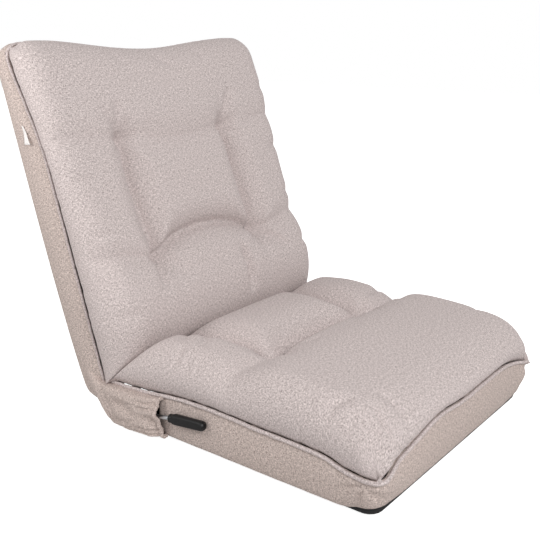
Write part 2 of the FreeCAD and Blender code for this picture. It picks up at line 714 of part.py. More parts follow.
def hexagon(radius, height, base, along):
    """A six-sided prism along X."""
    turn = FreeCAD.Rotation(V(0, 0, 1), along)
    corners = []
    for step in range(6):
        angle = math.radians(60 * step)
        corners.append(V(radius * math.cos(angle), radius * math.sin(angle), 0))
    face = Part.Face(Part.Wire([edge.toShape() for edge in closed(corners)]))
    prism = face.extrude(V(0, 0, height))
    prism.Placement = FreeCAD.Placement(base, turn)
    return prism


# The bolts that hold the hinge plates to the tubes, through both walls, with spacers in the plates' gap.
def frame_fasteners():
    radius = size("frame_bolt") / 2
    inner_face = tube_side() - size("tube") / 2
    seat_bolts = []
    spacers = []
    back_bolts = []
    outer_face = layer_value("outer") + size("plate")
    for _, side in SIDES:
        along = V(side, 0, 0)
        for ahead in (size("plate_foot"), size("plate_bolt_rear")):
            base = V(side * (inner_face - 3), -ahead, size("seat_tube_height"))
            shank = Part.makeCylinder(radius, outer_face - inner_face + 3, base, along)
            tip = Part.makeCylinder(radius * 1.7, 3, base - along * 0.1, along)
            head = Part.makeCylinder(radius * 1.8, 3.5, base + along * (outer_face - inner_face + 3), along)
            bolt = shank.fuse([tip, head]).removeSplitter()
            seat_bolts.append(bolt)
            gap_at = V(side * (layer_value("inner") + size("plate")), -ahead, size("seat_tube_height"))
            width = layer_value("outer") - layer_value("inner") - size("plate")
            ring = Part.makeCylinder(radius * 1.8, width, gap_at, along)
            spacers.append(ring.cut(Part.makeCylinder(radius + size("fit"), width, gap_at, along)))
        for up in arm_bolts():
            base = V(side * (inner_face - 3), 0, up)
            end = layer_value("tooth") + size("ratchet_plate")
            shank = Part.makeCylinder(radius, end - inner_face + 3, base, along)
            tip = Part.makeCylinder(radius * 1.7, 3, base - along * 0.1, along)
            head = Part.makeCylinder(radius * 1.8, 3, base + along * (end - inner_face + 3), along)
            sleeve_at = V(side * (tube_side() + size("tube") / 2), 0, up)
            width = layer_value("tooth") - tube_side() - size("tube") / 2
            ring = Part.makeCylinder(radius * 1.8, width, sleeve_at, along)
            back_bolts.append(shank.fuse([tip, head, ring]).removeSplitter())
    shaped("seat_frame_bolts", Part.makeCompound(seat_bolts))
    shaped("hinge_spacers", Part.makeCompound(spacers))
    shaped("back_frame_bolts", to_back(Part.makeCompound(back_bolts)))


# The springs: a flat spiral on each hinge bolt raises the back, and a coil on the shaft holds the pawls in.
def springs():
    strip = size("spring_strip")
    pegs = []
    for name, side in SIDES:
        centre = V(0, size("axis_height"), 0)
        inner_edges = []
        outer_edges = []
        radius = size("spring_inner")
        spot = V(centre)
        quarter = size("spring_pitch") / 4
        for step in range(12):
            begin = math.radians(90 * (step + 1))
            inner_edges.append(quarter_arc(spot, radius, begin))
            outer_edges.append(quarter_arc(spot, radius + strip, begin))
            turn = begin + math.radians(90)
            spot = spot - V(math.cos(turn), math.sin(turn), 0) * quarter
            radius += quarter
        ends = [
            Part.LineSegment(inner_edges[-1].EndPoint, outer_edges[-1].EndPoint),
            Part.LineSegment(outer_edges[0].StartPoint, inner_edges[0].StartPoint),
        ]
        edges = inner_edges + [ends[0]] + list(reversed(outer_edges)) + [ends[1]]
        tab = Part.makeBox(strip, size("spring_inner") + strip / 2 - 1, size("spring_width"))
        tab.translate(centre + V(-strip / 2, 1, 0))
        face = Part.Face(Part.Wire(Part.__sortEdges__([edge.toShape() for edge in edges])))
        spiral = solid_of(face.extrude(V(0, 0, size("spring_width"))).fuse(tab))
        spiral = upright(spiral, side, layer_value("spring"), size("spring_width"))
        shaped(f"back_return_spring_{name}", spiral)
        foot = V(side * (layer_value("outer") + size("plate")), 0, size("axis_height"))
        end = inner_edges[-1].EndPoint
        rise = end.y - size("axis_height") + strip + size("spring_peg") / 2 + size("fit")
        foot = foot + V(0, end.x, rise)
        pegs.append(Part.makeCylinder(size("spring_peg") / 2, size("spring_width"), foot, V(side, 0, 0)))
    shaped("spring_pegs", Part.makeCompound(pegs))
    coil()


def quarter_arc(centre, radius, begin):
    """A quarter turn about a centre."""
    points = []
    for share in (0, 0.5, 1):
        angle = begin + share * math.pi / 2
        points.append(centre + V(math.cos(angle), math.sin(angle), 0) * radius)
    return Part.Arc(*points)


def coil():
    """The pawls' return spring, wound round the cross shaft inside the right-hand hinge."""
    hub = shaft_place()
    radius = size("shaft") / 2 + size("coil_wire") / 2 + 0.4
    pitch = size("coil_wire") + 0.8
    helix = Part.makeHelix(pitch, pitch * size("coil_turns"), radius)
    wire = Part.Wire(helix.Edges)
    section = Part.Wire(Part.Circle(V(radius, 0, 0), V(0, 1, 0), size("coil_wire") / 2).toShape())
    body = wire.makePipeShell([section], True, True)
    end = tube_side() - size("tube") / 2 - 8 - pitch * size("coil_turns")
    body.Placement = FreeCAD.Placement(V(-end, hub[0], hub[1]), FreeCAD.Rotation(V(0, 1, 0), -90))
    shaped("lever_return_spring", body)


# The seat's soft parts: base cloth, side panel, foam, piping and the quilted pad.
def seam_height(ahead):
    """The height of the seat's top seam at a distance ahead of the hinge axis."""
    rise = size("seat_seam_front") - size("seat_seam_rear")
    return size("seat_seam_rear") + rise * ahead / size("seat_front")


def seat_outline(inset, rear):
    """The seat seen from above, drawn in by an inset, with its square end at the rear."""
    half = size("seat_width") / 2 - inset
    corner = size("seat_corner") - inset
    front = -size("seat_front") + inset + corner
    return outline_face([
        ((-half + corner, front), corner),
        ((half - corner, front), corner),
        ((half - 2, -rear - 2), 2),
        ((2 - half, -rear - 2), 2),
    ])


def under_seam(shape, drop, rear):
    """Keep what lies under the sloping seam plane, less a drop."""
    wide = size("seat_width")
    far = size("seat_front") + 60
    profile = [
        V(-wide, -rear + 60, -10),
        V(-wide, -far, -10),
        V(-wide, -far, seam_height(far) - drop),
        V(-wide, -rear + 60, seam_height(rear - 60) - drop),
    ]
    wedge = Part.Face(Part.makePolygon(profile + profile[:1])).extrude(V(2 * wide, 0, 0))
    return shape.common(wedge)


def seat_soft():
    cloth = size("cloth")
    panel = size("panel")
    gap = size("soft_gap")
    base = seat_outline(panel, -cloth).extrude(V(0, 0, cloth))
    shaped("seat_base_cloth", base)
    band_rear = size("sleeve_front") + size("binding") + 3
    tall = size("seat_crest")
    band = seat_outline(0, band_rear).extrude(V(0, 0, tall))
    hollow = seat_outline(panel, band_rear - size("tube")).extrude(V(0, 0, 2 * tall))
    hollow.translate(V(0, 0, -tall / 2))
    band = under_seam(band.cut(hollow), 0, band_rear)
    wide = 2 * size("seat_front")
    band = band.cut(Part.makeBox(2 * wide, 2 * wide, cloth, V(-wide, -wide, 0)))
    shaped("seat_side_band", solid_of(band))
    foam_low = size("seat_tube_height") + size("tube") / 2 + gap
    foam_rear = size("shaft_ahead") + size("pawl_hub")
    foam = seat_outline(panel + gap, foam_rear).extrude(V(0, 0, tall))
    foam.translate(V(0, 0, foam_low))
    foam = under_seam(foam, gap, foam_rear)
    shaped("seat_foam_core", solid_of(foam.cut(hinge_room(size("sleeve_top")))))
    welt = size("welt")
    path = seat_outline(-welt / 2 - 0.3, band_rear)
    shaped("seat_welt", piping(path, band_rear, welt))


def hinge_room(top):
    """The space at both rear corners of the seat that the hinges and sleeves take."""
    inner = tube_side() + size("tube") / 2 - 4
    deep = size("sleeve_front") + size("binding") + 4
    boxes = []
    for _, side in SIDES:
        start = inner if side > 0 else -inner - deep
        boxes.append(Part.makeBox(deep, 2 * deep, top + 1, V(start, -deep, 0)))
    return Part.makeCompound(boxes)


def solid_of(shape):
    """The largest solid of a boolean's result."""
    return max(shape.Solids, key=lambda solid: solid.Volume)


def piping(face, rear, diameter):
    """A round cord along the sides and front of the seat, on the sloping seam plane."""
    edges = []
    for edge in face.OuterWire.OrderedEdges:
        middle = edge.valueAt((edge.FirstParameter + edge.LastParameter) / 2)
        if middle.y < -rear - 3:
            edges.append(edge)
    rise = (size("seat_seam_front") - size("seat_seam_rear")) / size("seat_front")
    wire = Part.Wire(Part.__sortEdges__(edges))
    tilt = FreeCAD.Placement(
        V(0, 0, size("seat_seam_rear")), FreeCAD.Rotation(V(1, 0, 0), -math.degrees(math.atan(rise)))
    )
    wire.Placement = tilt
    first = wire.OrderedVertexes[0].Point
    second = wire.OrderedVertexes[1].Point
    return solid_pipe(wire, first, second - first, diameter / 2)


def lobed_section(base, half, shoulder, shoulder_in, tuft, valley, crown_side, crown_mid):
    """A cross-section of a quilted pad, drawn with X across and Y as its height over the seam plane.

    A flat base, two sides that bulge out to the shoulders, a lobe over each side and one in the middle.
    """
    side = [
        (V(half - 2, base, 0), V(half + 1, base + (shoulder - base) * 0.5, 0), V(half - shoulder_in, shoulder, 0)),
        (V(half - shoulder_in, shoulder, 0), V((half + tuft) / 2, crown_side, 0), V(tuft, valley, 0)),
    ]
    edges = [Part.LineSegment(V(2 - half, base, 0), V(half - 2, base, 0)).toShape()]
    for arc in side:
        edges.append(Part.Arc(*arc).toShape())
    edges.append(Part.Arc(V(tuft, valley, 0), V(0, crown_mid, 0), V(-tuft, valley, 0)).toShape())
    for start, middle, end in reversed(side):
        mirrored = [V(-point.x, point.y, 0) for point in (end, middle, start)]
        edges.append(Part.Arc(*mirrored).toShape())
    return Part.Wire(edges)


def seat_pad():
    """The quilted seat: three rear lobes between two tufts, a cross channel and one long front roll."""
    front = size("seat_front")
    tuft_at = size("seat_tuft_ahead")
    tuft = size("tuft_side")
    lobe = size("seat_lobe")
    crest = size("seat_crest")
    sewn = size("seat_tuft_height")
    half = size("seat_width") / 2
    corner = size("seat_corner")
    seam = seam_height(front)
    rise = crest - seam
    stations = [
        (20, half, 0.62, lobe - 18, lobe - 34, lobe - 14),
        (100, half, 0.62, lobe - 16, lobe - 32, lobe - 12),
        (200, half, 0.62, lobe - 4, lobe - 20, lobe + 2),
        (tuft_at - 45, half, 0.60, lobe - 6, lobe - 22, lobe - 2),
        (tuft_at, half, 0.58, lobe - 14, sewn, lobe - 14),
        (tuft_at + 40, half, 0.60, crest - 8, crest - 10, crest - 4),
        ((tuft_at + front) / 2 - 30, half, 0.62, crest - 4, crest - 1, crest + 4),
        (front - 100, half - 1, 0.60, seam + rise * 0.78, seam + rise * 0.83, seam + rise * 0.88),
        (front - 48, half - 6, 0.55, seam + rise * 0.54, seam + rise * 0.59, seam + rise * 0.64),
        (front - 14, half - corner * 0.45, 0.5, seam + rise * 0.25, seam + rise * 0.29, seam + rise * 0.33),
        (front, half - corner, 0.5, seam + rise * 0.10, seam + rise * 0.11, seam + rise * 0.12),
    ]
    wires = []
    for ahead, wide, share, side_top, valley, mid_top in stations:
        base = seam_height(ahead) + size("soft_gap") / 2
        shoulder = base + (side_top - base) * share
        shoulder_in = min(26, (side_top - base) * 0.5)
        section = lobed_section(
            base, wide, shoulder, shoulder_in, tuft * wide / half, valley, side_top, mid_top
        )
        section.Placement = FreeCAD.Placement(V(0, -ahead, 0), FreeCAD.Rotation(V(1, 0, 0), 90))
        wires.append(section)
    pad = Part.makeLoft(wires, True, False, False, 3)
    pad = pad.cut(hinge_room(size("sleeve_top")))
    rear_gap = size("soft_gap") * 2
    pad = pad.cut(back_of_fold(-rear_gap))
    shaped("seat_pad", solid_of(pad))


def back_of_fold(shift):
    """Everything behind the sloping face where the back pad rests on the seat pad, moved by a shift."""
    low = V(0, -size("back_front") + 1, size("axis_height") + 9)
    lean = math.radians(135)
    along = V(0, math.cos(lean), math.sin(lean))
    normal = V(0, math.sin(lean), -math.cos(lean))
    start = low + normal * shift
    wide = back_half(size("back_height")) * 2
    far = size("back_height") * 2
    corners = [
        start - along * wide / 4,
        start + along * far,
        start + along * far + normal * far,
        start - along * wide / 4 + normal * far,
    ]
    face = Part.Face(Part.makePolygon(corners + corners[:1]))
    face.translate(V(-wide, 0, 0))
    return face.extrude(V(2 * wide, 0, 0))


# The back's soft parts, made upright with Z up the back and -Y towards the sitter, and then leaned.
def back_half(up):
    """Half the back's width at a height: it flares evenly from the side panels' ends to the top corners."""
    low = seat_half() + size("back_wider") / 2
    rise = (up - size("panel_start")) / (size("back_height") - size("back_corner") - size("panel_start"))
    return low + size("back_flare") / 2 * min(1, max(0, rise))


def back_outline(inset, start):
    """The back seen from the front, drawn in by an inset, from a start height to the top seam."""
    top = size("back_height") - inset
    half_low = seat_half() + size("back_wider") / 2 - inset
    half_top = half_low + size("back_flare") / 2
    corner = size("back_corner") - inset
    return outline_face([
        ((-half_low + 1, start + 1), 1),
        ((half_low - 1, start + 1), 1),
        ((half_top - corner, top - corner), corner),
        ((corner - half_top, top - corner), corner),
    ])


def back_block(face, near, far):
    """A flat face in XY stood upright and given its depth, from near to far behind the hinge axis."""
    block = face.extrude(V(0, 0, far - near))
    block.Placement = FreeCAD.Placement(V(0, far, 0), FreeCAD.Rotation(V(1, 0, 0), 90))
    return block


def back_soft():
    panel = size("panel")
    gap = size("soft_gap")
    cloth = size("cloth")
    front = -size("back_front")
    rear = size("back_rear")
    start = size("panel_start")
    shaped("back_rear_panel", to_back(back_block(back_outline(0, 4), rear - cloth, rear)))
    outer = back_block(back_outline(0, start), front, rear - cloth)
    inner = back_block(back_outline(panel, -start), front - panel, rear + panel)
    shaped("back_side_band", to_back(solid_of(outer.cut(inner))))
    foam = back_block(back_outline(panel + gap, start), front + gap, rear - cloth - gap)
    foam = foam.cut(frame_room())
    shaped("back_foam_core", to_back(solid_of(foam)))
    welt = size("welt")
    face = back_outline(-welt / 2 - 0.3, start)
    edges = [edge for edge in face.OuterWire.OrderedEdges
             if edge.valueAt((edge.FirstParameter + edge.LastParameter) / 2).y > start + 3]
    wire = Part.Wire(Part.__sortEdges__(edges))
    wire.Placement = FreeCAD.Placement(V(0, front, 0), FreeCAD.Rotation(V(1, 0, 0), 90))
    first = wire.OrderedVertexes[0].Point
    second = wire.OrderedVertexes[1].Point
    shaped("back_welt", to_back(solid_pipe(wire, first, second - first, welt / 2)))
    half = back_half(size("tag_up") + size("tag_length"))
    tag = Part.makeBox(
        1, size("tag_width"), size("tag_length"), V(-half - 1.3, front + 4, size("tag_up"))
    )
    shaped("side_tag", to_back(tag))


def frame_room():
    """The room that the back's tubes, bars, arms and bolts take inside the foam."""
    clear = size("soft_gap")
    side = tube_side()
    edges = u_path(side, size("back_tube_start"), size("back_tube_top"), size("tube_bend"))
    path = Part.Wire([edge.toShape() for edge in edges])
    path.Placement = FreeCAD.Placement(V(), FreeCAD.Rotation(V(1, 0, 0), 90))
    start = V(side, 0, size("back_tube_start"))
    cuts = [solid_pipe(path, start, V(0, 0, 1), size("tube") / 2 + clear)]
    for up in (size("back_bar_low"), size("back_bar_high")):
        cuts.append(Part.makeCylinder(size("cross_bar") / 2 + clear, 2 * side, V(-side, 0, up), V(1, 0, 0)))
    arm_high = size("back_bar_low") + size("cross_bar")
    arm_deep = size("arm_root") + clear
    inner = side - size("tube") / 2 - size("frame_bolt")
    for _, sign in SIDES:
        corner = V(inner if sign > 0 else -inner - size("tube") * 2, -arm_deep, 0)
        cuts.append(Part.makeBox(size("tube") * 2, arm_deep * 2, arm_high, corner))
    return cuts


def back_pad():
    """The quilted back: a lumbar roll, two rows of tufts with channels between them and a thin top edge."""
    low = size("low_tuft_up")
    high = size("high_tuft_up")
    top = size("back_height")
    front = size("back_front")
    lumbar = size("lumbar_crown")
    waist = size("waist_crown")
    chest = size("chest_crown")
    head = size("head_crown")
    corner = size("back_corner")
    stations = [
        (0, 0, lumbar - 8, lumbar - 12, lumbar - 6),
        (80, 0, lumbar, lumbar - 3, lumbar + 2),
        (150, 0, lumbar - 12, lumbar - 14, lumbar - 4),
        (low, 0, waist - 6, size("back_tuft_low_depth"), waist - 20),
        (low + 70, 0, waist - 8, waist - 34, waist - 14),
        ((low + high) / 2 + 20, 0, chest, chest - 24, chest - 2),
        (high, 0, chest - 10, size("back_tuft_high_depth"), chest - 22),
        (high + 70, 0, head + 4, head - 10, head),
        (top - 70, 2, head - 12, head - 20, head - 14),
        (top - 26, corner * 0.3, head - 30, head - 34, head - 32),
        (top, corner, front + 12, front + 11, front + 13),
    ]
    wires = []
    for up, narrow, side_top, valley, mid_top in stations:
        wide = back_half(up) - narrow
        base = front + size("soft_gap") / 2
        shoulder = base + (side_top - base) * 0.6
        shoulder_in = min(30, (side_top - base) * 0.5)
        section = lobed_section(
            base, wide, shoulder, shoulder_in, size("tuft_side"), valley, side_top, mid_top
        )
        section.Placement = FreeCAD.Placement(V(0, 0, up), FreeCAD.Rotation())
        forward = section.copy()
        forward.transformShape(FreeCAD.Matrix(1, 0, 0, 0, 0, -1, 0, 0, 0, 0, 1, 0, 0, 0, 0, 1))
        wires.append(forward)
    pad = to_back(Part.makeLoft(wires, True, False, False, 3))
    keep = back_of_fold(0)
    pad = pad.common(keep)
    pad = pad.cut(hinge_disc_room())
    shaped("back_pad", solid_of(pad))


def hinge_disc_room():
    """The room round the hinge plates at both lower corners of the back pad."""
    inner = tube_side() + size("tube") / 2 - 4
    radius = size("tooth_tip") + 2
    discs = []
    for _, side in SIDES:
        base = V(side * inner, 0, size("axis_height"))
        discs.append(Part.makeCylinder(radius, size("back_flare") * 2, base, V(side, 0, 0)))
    return Part.makeCompound(discs)


# The fabric sleeves that run from the back's cover over the hinges, with an elastic edge at the front.
def sleeve_section(ahead, out, low, high, inward):
    """A C-shaped outline in the XZ plane, open towards the middle of the chair, for one station."""
    inner_low = sleeve_side() - 22 - inward
    inner_high = sleeve_side() - 16 - inward
    round_off = min(11, (high - low) * 0.35)
    bulge = round_off * (1 - math.sqrt(0.5))
    edges = [
        Part.LineSegment(V(inner_low, low, 0), V(out - round_off, low, 0)),
        Part.Arc(V(out - round_off, low, 0), V(out - bulge, low + bulge, 0), V(out, low + round_off, 0)),
        Part.LineSegment(V(out, low + round_off, 0), V(out, high - round_off, 0)),
        Part.Arc(V(out, high - round_off, 0), V(out - bulge, high - bulge, 0), V(out - round_off, high, 0)),
        Part.LineSegment(V(out - round_off, high, 0), V(inner_high, high, 0)),
        Part.LineSegment(V(inner_high, high, 0), V(inner_low, low, 0)),
    ]
    wire = Part.Wire([edge.toShape() for edge in edges])
    wire.Placement = FreeCAD.Placement(V(0, -ahead, 0), FreeCAD.Rotation(V(1, 0, 0), 90))
    return wire


def sleeves():
    side = sleeve_side()
    front = size("sleeve_front")
    high = size("sleeve_top")
    rear_low = size("sleeve_low_rear")
    front_low = size("sleeve_low_front")
    cloth = size("sleeve_cloth")
    stations = [
        (-30, side - 4, rear_low + 34, high + 14),
        (20, side, rear_low + 12, high + 4),
        (80, side, rear_low, high),
        (front, side, front_low, high - 1),
    ]
    outer = Part.makeLoft([sleeve_section(*one, 0) for one in stations], True, False, False, 3)
    inside = []
    for ahead, out, low, top in stations:
        reach = ahead + (cloth if ahead == front else 0) - (cloth if ahead < 0 else 0)
        inside.append(sleeve_section(reach, out - cloth, low + cloth, top - cloth, 5))
    shell = solid_of(outer.cut(Part.makeLoft(inside, True, False, False, 3)))
    edge = binding_ring(front, side, front_low, high - 1)
    for name, sign in SIDES:
        shaped(f"hinge_sleeve_{name}", on_side(shell, sign))
        shaped(f"sleeve_binding_{name}", on_side(edge, sign))


def on_side(shape, sign):
    """A piece made for the sitter's left, or its mirror image for the right."""
    return shape.copy() if sign > 0 else shape.mirror(V(0, 0, 0), V(1, 0, 0))


def binding_ring(front, side, low, high):
    """The sewn elastic edge at a sleeve's open end."""
    half = size("binding_thick") / 2
    start = front + size("soft_gap") / 2
    outer = Part.Face(sleeve_section(start, side + half, low - half, high + half, 0))
    inner = Part.Face(sleeve_section(start, side - half, low + half, high - half, 5))
    return solid_of(outer.cut(inner).extrude(V(0, -size("binding"), 0)))


seat_frame()
back_frame()
seat_hinge_plates()
ratchet_plates()
pawls()
lever()
hinge_fasteners()
frame_fasteners()
springs()
seat_soft()
seat_pad()
back_soft()
back_pad()
sleeves()
doc.recompute()

for obj in doc.Objects:
    bad = [state for state in obj.State if state in ("Invalid", "Error")]
    if bad:
        raise RuntimeError(f"{obj.Label} did not build: {bad}")
unsound = [obj.Label for obj in finished if obj.Shape.isNull() or not obj.Shape.isValid() or not obj.Shape.Solids]
if unsound:
    raise RuntimeError(f"no valid solid: {unsound}")
for obj in finished:
    obj.Shape.exportStep(f"parts/{obj.Label}.step")
    print(obj.Label, len(obj.Shape.Solids), round(obj.Shape.Volume / 1000, 1))
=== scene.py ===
"""The looks of a folding floor chair: a quilted cloth seat and back over a hinged steel frame.

Lengths are in millimetres while a shape is worked out, and mesh_piece() turns them into metres. X runs to the
sitter's left, the sitter faces -Y and Z is up. The back's own lengths are "up" along it from the hinge axis
and "out" ahead of the axis, towards the sitter.
"""
import json
import math

import bpy
import numpy as np
from mathutils import Matrix, Vector

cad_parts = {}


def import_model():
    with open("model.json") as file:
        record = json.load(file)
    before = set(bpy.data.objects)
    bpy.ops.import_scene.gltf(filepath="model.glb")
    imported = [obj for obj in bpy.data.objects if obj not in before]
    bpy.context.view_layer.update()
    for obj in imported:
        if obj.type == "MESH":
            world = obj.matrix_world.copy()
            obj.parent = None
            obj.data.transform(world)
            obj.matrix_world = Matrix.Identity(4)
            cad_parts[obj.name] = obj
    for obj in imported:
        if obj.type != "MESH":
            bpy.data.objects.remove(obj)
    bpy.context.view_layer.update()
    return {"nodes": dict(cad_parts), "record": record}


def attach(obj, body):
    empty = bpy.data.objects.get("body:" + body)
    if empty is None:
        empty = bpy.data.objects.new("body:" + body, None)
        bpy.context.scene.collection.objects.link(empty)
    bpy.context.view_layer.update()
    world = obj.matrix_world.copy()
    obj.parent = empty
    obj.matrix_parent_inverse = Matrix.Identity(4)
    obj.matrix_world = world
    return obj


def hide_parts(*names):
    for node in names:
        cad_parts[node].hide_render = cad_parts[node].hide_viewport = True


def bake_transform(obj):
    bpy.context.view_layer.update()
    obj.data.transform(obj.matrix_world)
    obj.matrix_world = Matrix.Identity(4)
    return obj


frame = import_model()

cad = frame["nodes"]

# The steel frame, hinges, pawls, bolts and springs, hidden under the cover. The tubes are powder coated,
# the hinge parts are zinc plated pressings and the springs are oiled strip.


def linear(red, green, blue):
    """An sRGB colour from 0 to 255 as the linear colour that a shader takes, with alpha."""
    shares = [value / 255 for value in (red, green, blue)]
    return tuple(v / 12.92 if v <= 0.04045 else ((v + 0.055) / 1.055) ** 2.4 for v in shares) + (1,)


def new_material(name, roughness, metallic=0.0):
    """A material with a Principled shader, and its node tree."""
    material = bpy.data.materials.new(name)
    material.use_nodes = True
    shader = material.node_tree.nodes["Principled BSDF"]
    shader.inputs["Roughness"].default_value = roughness
    shader.inputs["Metallic"].default_value = metallic
    return material, material.node_tree, shader


def wire(tree, *pairs):
    """Link pairs of sockets."""
    for start, end in pairs:
        tree.links.new(start, end)


def noise_node(tree, vector, scale, detail):
    """A noise texture read at a vector."""
    node = tree.nodes.new("ShaderNodeTexNoise")
    node.inputs["Scale"].default_value = scale
    node.inputs["Detail"].default_value = detail
    tree.links.new(vector, node.inputs["Vector"])
    return node


def tint_node(tree, value, stops, shader):
    """A colour ramp over a value, into a shader's base colour. Each stop is (place, colour)."""
    node = tree.nodes.new("ShaderNodeValToRGB")
    for element, (place, colour) in zip(node.color_ramp.elements, stops):
        element.position = place
        element.color = colour
    wire(tree, (value, node.inputs["Fac"]), (node.outputs["Color"], shader.inputs["Base Color"]))


def bump_node(tree, height, strength, distance, shader):
    """A bump from a height, into a shader's normal."""
    node = tree.nodes.new("ShaderNodeBump")
    node.inputs["Strength"].default_value = strength
    node.inputs["Distance"].default_value = distance
    wire(tree, (height, node.inputs["Height"]), (node.outputs["Normal"], shader.inputs["Normal"]))


def gloss_node(tree, wear, least, most, shader):
    """Roughness that follows a wear pattern from least to most."""
    node = tree.nodes.new("ShaderNodeMapRange")
    node.inputs["To Min"].default_value = least
    node.inputs["To Max"].default_value = most
    wire(tree, (wear, node.inputs["Value"]), (node.outputs["Result"], shader.inputs["Roughness"]))


def coordinates(tree, kind):
    """Object or UV coordinates."""
    return tree.nodes.new("ShaderNodeTexCoord").outputs[kind]


def hard_finish(name, dark, light, roughness, metallic):
    """A plated, painted or moulded finish: a faint mottle in its colour and gloss, and a fine grain."""
    material, tree, shader = new_material(name, roughness, metallic)
    vector = coordinates(tree, "Object")
    mottle = noise_node(tree, vector, 60, 4)
    tint_node(tree, mottle.outputs["Fac"], [(0.35, dark), (0.65, light)], shader)
    gloss_node(tree, mottle.outputs["Fac"], roughness - 0.08, roughness + 0.1, shader)
    fine = noise_node(tree, vector, 1800, 2)
    bump_node(tree, fine.outputs["Fac"], 0.25, 0.0002, shader)
    return material


zinc_plate = hard_finish("zinc_plate", linear(176, 180, 184), linear(214, 216, 218), 0.3, 1.0)
oiled_spring = hard_finish("oiled_spring", linear(70, 70, 74), linear(104, 104, 108), 0.36, 1.0)
tube_coat = hard_finish("tube_coat", linear(22, 22, 24), linear(38, 38, 40), 0.42, 0.0)
nylon = hard_finish("white_nylon", linear(214, 212, 204), linear(230, 229, 223), 0.5, 0.0)

finish_of_slot = {
    "zinc_steel": zinc_plate, "spring_steel": oiled_spring, "frame_paint": tube_coat, "bush_nylon": nylon,
}
for part in frame["record"]["subparts"]:
    if part["material_slot"] in finish_of_slot:
        cad[part["node"]].data.materials.clear()
        cad[part["node"]].data.materials.append(finish_of_slot[part["material_slot"]])


# The cover cloth: a heathered polyester linen in a pale warm grey, woven from threads of several greys.
# One node group gives its colour and its weave, and every cloth piece reads it through its own UV map.
def weave_group():
    """Colour and height of a plain weave on a UV in metres.

    The height is |sin| ridges of warp or weft, whichever is over in a checker of the thread pitch. The
    colour comes from two noises drawn out along the warp and the weft, so each thread has its own tone, and
    from a third, even one.
    """
    group = bpy.data.node_groups.new("heathered_weave", "ShaderNodeTree")
    group.interface.new_socket("Cloth UV", in_out="INPUT", socket_type="NodeSocketVector")
    for name in ("Thread Dark", "Thread Light"):
        group.interface.new_socket(name, in_out="INPUT", socket_type="NodeSocketColor")
    group.interface.new_socket("Color", in_out="OUTPUT", socket_type="NodeSocketColor")
    group.interface.new_socket("Height", in_out="OUTPUT", socket_type="NodeSocketFloat")
    nodes = group.nodes
    source = nodes.new("NodeGroupInput")
    result = nodes.new("NodeGroupOutput")

    def math_node(operation, first, second=None):
        node = nodes.new("ShaderNodeMath")
        node.operation = operation
        for socket, value in zip(node.inputs, (first, second)):
            if isinstance(value, (int, float)):
                socket.default_value = value
            elif value is not None:
                group.links.new(value, socket)
        return node.outputs[0]

    def stretched_noise(scale, detail):
        mapping = nodes.new("ShaderNodeMapping")
        mapping.inputs["Scale"].default_value = scale
        group.links.new(source.outputs["Cloth UV"], mapping.inputs["Vector"])
        return noise_node(group, mapping.outputs["Vector"], 1.0, detail).outputs["Fac"]

    split = nodes.new("ShaderNodeSeparateXYZ")
    group.links.new(source.outputs["Cloth UV"], split.inputs[0])
    per_metre = math.pi / 0.0012
    across = math_node("SINE", math_node("MULTIPLY", split.outputs["X"], per_metre))
    along = math_node("SINE", math_node("MULTIPLY", split.outputs["Y"], per_metre))
    over = math_node("GREATER_THAN", math_node("MULTIPLY", across, along), 0.0)
    warp = math_node("MULTIPLY", math_node("ABSOLUTE", across), over)
    weft = math_node("MULTIPLY", math_node("ABSOLUTE", along), math_node("SUBTRACT", 1.0, over))
    ridges = math_node("ADD", warp, weft)
    warp_tone = stretched_noise((780, 170, 1), 2.0)
    weft_tone = stretched_noise((170, 780, 1), 2.0)
    fleck = stretched_noise((440, 440, 1), 3.0)
    tone = math_node("MULTIPLY", math_node("ADD", warp_tone, weft_tone), 0.5)
    tone = math_node("ADD", math_node("MULTIPLY", tone, 0.62), math_node("MULTIPLY", fleck, 0.38))
    spread = nodes.new("ShaderNodeMapRange")
    spread.inputs["From Min"].default_value = 0.38
    spread.inputs["From Max"].default_value = 0.62
    group.links.new(tone, spread.inputs["Value"])
    mix = nodes.new("ShaderNodeMix")
    mix.data_type = "RGBA"
    wire(
        group,
        (spread.outputs["Result"], mix.inputs["Factor"]),
        (source.outputs["Thread Dark"], mix.inputs["A"]),
        (source.outputs["Thread Light"], mix.inputs["B"]),
        (mix.outputs["Result"], result.inputs["Color"]),
        (math_node("ADD", ridges, math_node("MULTIPLY", tone, 0.5)), result.inputs["Height"]),
    )
    return group


weave = weave_group()


def cloth_material(name, dark, light, sheen):
    """A woven cloth in two thread colours, with a soft nap."""
    material, tree, shader = new_material(name, 0.92)
    group = tree.nodes.new("ShaderNodeGroup")
    group.node_tree = weave
    group.inputs["Thread Dark"].default_value = dark
    group.inputs["Thread Light"].default_value = light
    shader.inputs["Sheen Weight"].default_value = sheen
    shader.inputs["Sheen Roughness"].default_value = 0.5
    shader.inputs["Specular IOR Level"].default_value = 0.2
    wire(
        tree,
        (coordinates(tree, "UV"), group.inputs["Cloth UV"]),
        (group.outputs["Color"], shader.inputs["Base Color"]),
    )
    bump_node(tree, group.outputs["Height"], 0.3, 0.0003, shader)
    return material


cover_cloth = cloth_material("cover_cloth", linear(150, 138, 136), linear(240, 229, 227), 0.06)
# The side panels, the rear panel and the sleeves use the same cloth in darker, warmer threads: painted shade
# for the pieces that turn away from the light.
shaded_side_cloth = cloth_material("shaded_side_cloth", linear(140, 126, 120), linear(232, 217, 210), 0.05)


# The seat cover's top: a quilted pad over foam and fibre. Two tufts are sewn through it, with channels
# back to the fold and across between them, three lobes behind and one long roll in front. It is drawn in
# at the corners, and its seam to the side panel is gathered.
seat_half = 283.0
seat_rear = 44.0
seat_front = 612.0
seat_tuft = (148.0, 317.0)
seat_side_rim = 44.0
seat_front_rim = 58.0
seat_corner = 34.0
rim_tuck = 9.0
ear_across = 10.0
ear_ahead = 17.0


